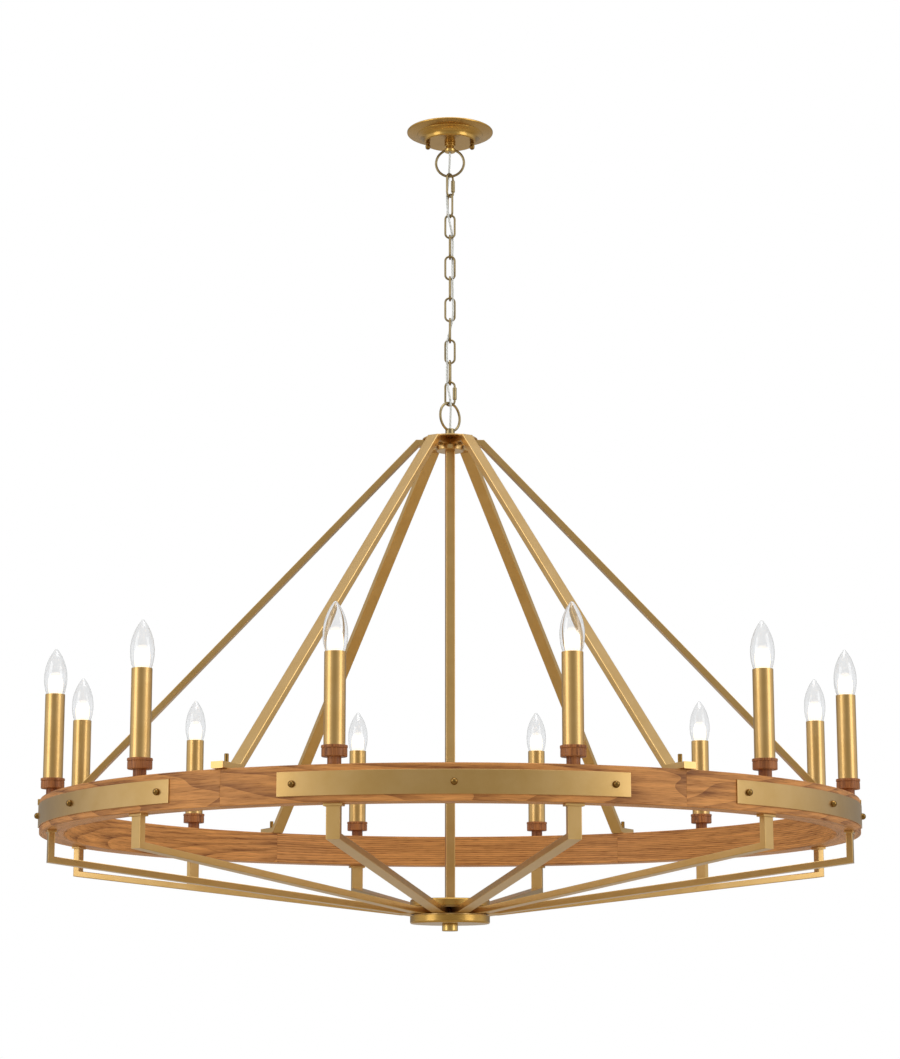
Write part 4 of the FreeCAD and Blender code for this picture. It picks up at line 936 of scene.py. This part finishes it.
class CHANDELIER_OT_inner_parts(bpy.types.Operator):
    """Give the CAD model's inner parts their finishes"""

    bl_idname = "chandelier.inner_parts"
    bl_label = "Inner parts"

    def execute(self, context):
        colours = context.scene.chandelier_colours
        finishes = {
            "ceiling_crossbar": plated_steel, "canopy_studs": plated_steel, "canopy_nipple": plated_steel,
            "candle_posts": plated_steel, "lamp_sockets": socket_plastic, "hub_loop_nut": plain_brass,
        }
        for node, finish in finishes.items():
            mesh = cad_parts[node].data
            mesh.materials.clear()
            mesh.materials.append(finish(colours))
        return {"FINISHED"}


class CHANDELIER_OT_stage(bpy.types.Operator):
    """Make the studio: a pale floor, three soft lamps, a white room and the camera"""

    bl_idname = "chandelier.stage"
    bl_label = "Stage"

    def execute(self, context):
        colours, scene = context.scene.chandelier_colours, context.scene
        mesh = bpy.data.meshes.new("studio_floor")
        corners = [(x * FLOOR_REACH, y * FLOOR_REACH, FLOOR_HEIGHT) for x, y in ((-1, -1), (1, -1), (1, 1), (-1, 1))]
        mesh.from_pydata(corners, [], [(0, 1, 2, 3)])
        floor = bpy.data.objects.new("studio_floor", mesh)
        scene.collection.objects.link(floor)
        paint, add = new_material("floor_painted_matt")
        # Painted board, rolled matt: an even pale grey with a slow drift in tone.
        drift = add("TexNoise", {"Vector": add("TexCoord")["Object"], "Scale": 0.7})["Fac"]
        darker = tuple(0.97 * c for c in colours.floor)
        tone = add("Mix", {0: drift, 6: (*colours.floor, 1), 7: (*darker, 1)}, data_type="RGBA")[2]
        path = add("LightPath")
        # In the metal the floor is a warmer, darker grey near the chandelier: painted shade that only reflections show,
        # so that undersides keep their brass tone.
        back = add("SeparateXYZ", {0: add("TexCoord")["Object"]})["Y"]
        back = add("MapRange", {"Value": back, "From Min": 2.5, "From Max": 6.5})["Result"]
        warm = tuple(c * k for c, k in zip(colours.floor, (0.72, 0.64, 0.5)))
        mirrored = add("Mix", {0: back, 6: (*warm, 1), 7: tone}, data_type="RGBA")[2]
        tone = add("Mix", {0: path["Is Glossy Ray"], 6: tone, 7: mirrored}, data_type="RGBA")[2]
        # To the camera it is lifted to the room's white, with its shadows left in it.
        lift = add("Math", {0: path["Is Camera Ray"], 1: 0.46}, operation="MULTIPLY")["Value"]
        show(add, {"Base Color": tone, "Roughness": 0.85, "Emission Color": (1, 1, 1, 1), "Emission Strength": lift})
        mesh.materials.append(paint)

        for name, place, aim, width, height, power in (
            ("lamp_left", (-3.1, -2.0, 0.1), (0, 0, -0.9), 1.8, 3.0, 27),
            ("lamp_right", (3.1, -2.0, 0.1), (0, 0, -0.9), 1.8, 3.0, 27),
            ("lamp_over", (0.2, -0.4, 2.4), (0, 0, -1.0), 2.4, 2.4, 45),
        ):
            light = bpy.data.lights.new(name, "AREA")
            light.shape, light.size, light.size_y, light.energy = "RECTANGLE", width, height, power
            lamp = bpy.data.objects.new(name, light)
            way = np.array(place, float) - np.array(aim, float)
            lamp.location = place
            lamp.rotation_euler = (math.acos(way[2] / np.linalg.norm(way)), 0, math.atan2(way[1], way[0]) + math.pi / 2)
            scene.collection.objects.link(lamp)

        # The room is plain white to the camera and through glass. In the metal it has a darker part in front, as
        # where a photographer stands, and the light that it sheds is even.
        scene.world = bpy.data.worlds.new("studio_room")
        scene.world.use_nodes = True
        scene.world.node_tree.nodes.clear()
        add = partial(add_node, scene.world.node_tree)
        path = add("LightPath")
        way = add("TexCoord")["Generated"]
        ahead = add("VectorMath", {0: way, 1: (0.0, -1.0, 0.05)}, operation="DOT_PRODUCT")["Value"]
        soft = {"interpolation_type": "SMOOTHSTEP"}
        behind = add("MapRange", {"Value": ahead, "From Min": -0.1, "From Max": -0.9}, **soft)["Result"]
        ahead = add("MapRange", {"Value": ahead, "From Min": 0.74, "From Max": 0.99}, **soft)["Result"]
        room = add("Mix", {0: behind, 6: (0.9, 0.9, 0.9, 1), 7: (0.3, 0.29, 0.27, 1)}, data_type="RGBA")[2]
        room = add("Mix", {0: ahead, 6: room, 7: (0.45, 0.435, 0.4, 1)}, data_type="RGBA")[2]
        mirrored = add("Background", {"Color": room, "Strength": 1.0})[0]
        even = add("Background", {"Color": (1, 1, 1, 1), "Strength": 0.7})[0]
        seen = add("Background", {"Color": (1, 1, 1, 1), "Strength": 1.0})[0]
        direct = add("Math", {0: path["Is Camera Ray"], 1: path["Is Transmission Ray"]}, operation="MAXIMUM")["Value"]
        lit = add("MixShader", {0: path["Is Glossy Ray"], 1: even, 2: mirrored})[0]
        lit = add("MixShader", {0: direct, 1: lit, 2: seen})[0]
        add("OutputWorld", {"Surface": lit})

        scene.view_settings.view_transform = "Standard"
        camera = bpy.data.cameras.new("camera")
        camera.lens, camera.sensor_width = CAMERA_LENS, 36
        camera.clip_end = 100
        seat = bpy.data.objects.new("camera", camera)
        yaw = math.radians(CAMERA_YAW)
        seat.location = (-CAMERA_AWAY * math.sin(yaw), -CAMERA_AWAY * math.cos(yaw), CAMERA_HEIGHT)
        seat.rotation_euler = (math.radians(CAMERA_TILT), 0, -yaw)
        scene.collection.objects.link(seat)
        scene.camera = seat
        return {"FINISHED"}


OPERATORS = (
    CHANDELIER_OT_canopy, CHANDELIER_OT_canopy_loop, CHANDELIER_OT_chain, CHANDELIER_OT_cord, CHANDELIER_OT_upper_hub,
    CHANDELIER_OT_upper_arms, CHANDELIER_OT_rod, CHANDELIER_OT_ring, CHANDELIER_OT_band, CHANDELIER_OT_candles,
    CHANDELIER_OT_bulbs, CHANDELIER_OT_lower_arms, CHANDELIER_OT_lower_hub, CHANDELIER_OT_inner_parts,
    CHANDELIER_OT_stage,
)


class VIEW3D_PT_chandelier(bpy.types.Panel):
    """Lists the chandelier's pieces, sizes and colours in the sidebar"""

    bl_label = "Wagon wheel chandelier"
    bl_space_type = "VIEW_3D"
    bl_region_type = "UI"
    bl_category = "Chandelier"

    def draw(self, context):
        for operator in OPERATORS:
            self.layout.operator(operator.bl_idname)
        for group in (context.scene.chandelier_sizes, context.scene.chandelier_colours):
            column = self.layout.column(align=True)
            for name in type(group).__annotations__:
                column.prop(group, name)


CLASSES = (ChandelierSizes, ChandelierColours, *OPERATORS, VIEW3D_PT_chandelier)


def register():
    for each in CLASSES:
        bpy.utils.register_class(each)
    bpy.types.Scene.chandelier_sizes = bpy.props.PointerProperty(type=ChandelierSizes)
    bpy.types.Scene.chandelier_colours = bpy.props.PointerProperty(type=ChandelierColours)


def unregister():
    del bpy.types.Scene.chandelier_sizes
    del bpy.types.Scene.chandelier_colours
    for each in reversed(CLASSES):
        bpy.utils.unregister_class(each)


def main():
    register()
    for operator in OPERATORS:
        family, name = operator.bl_idname.split(".")
        getattr(getattr(bpy.ops, family), name)()


if __name__ == "__main__":
    main()
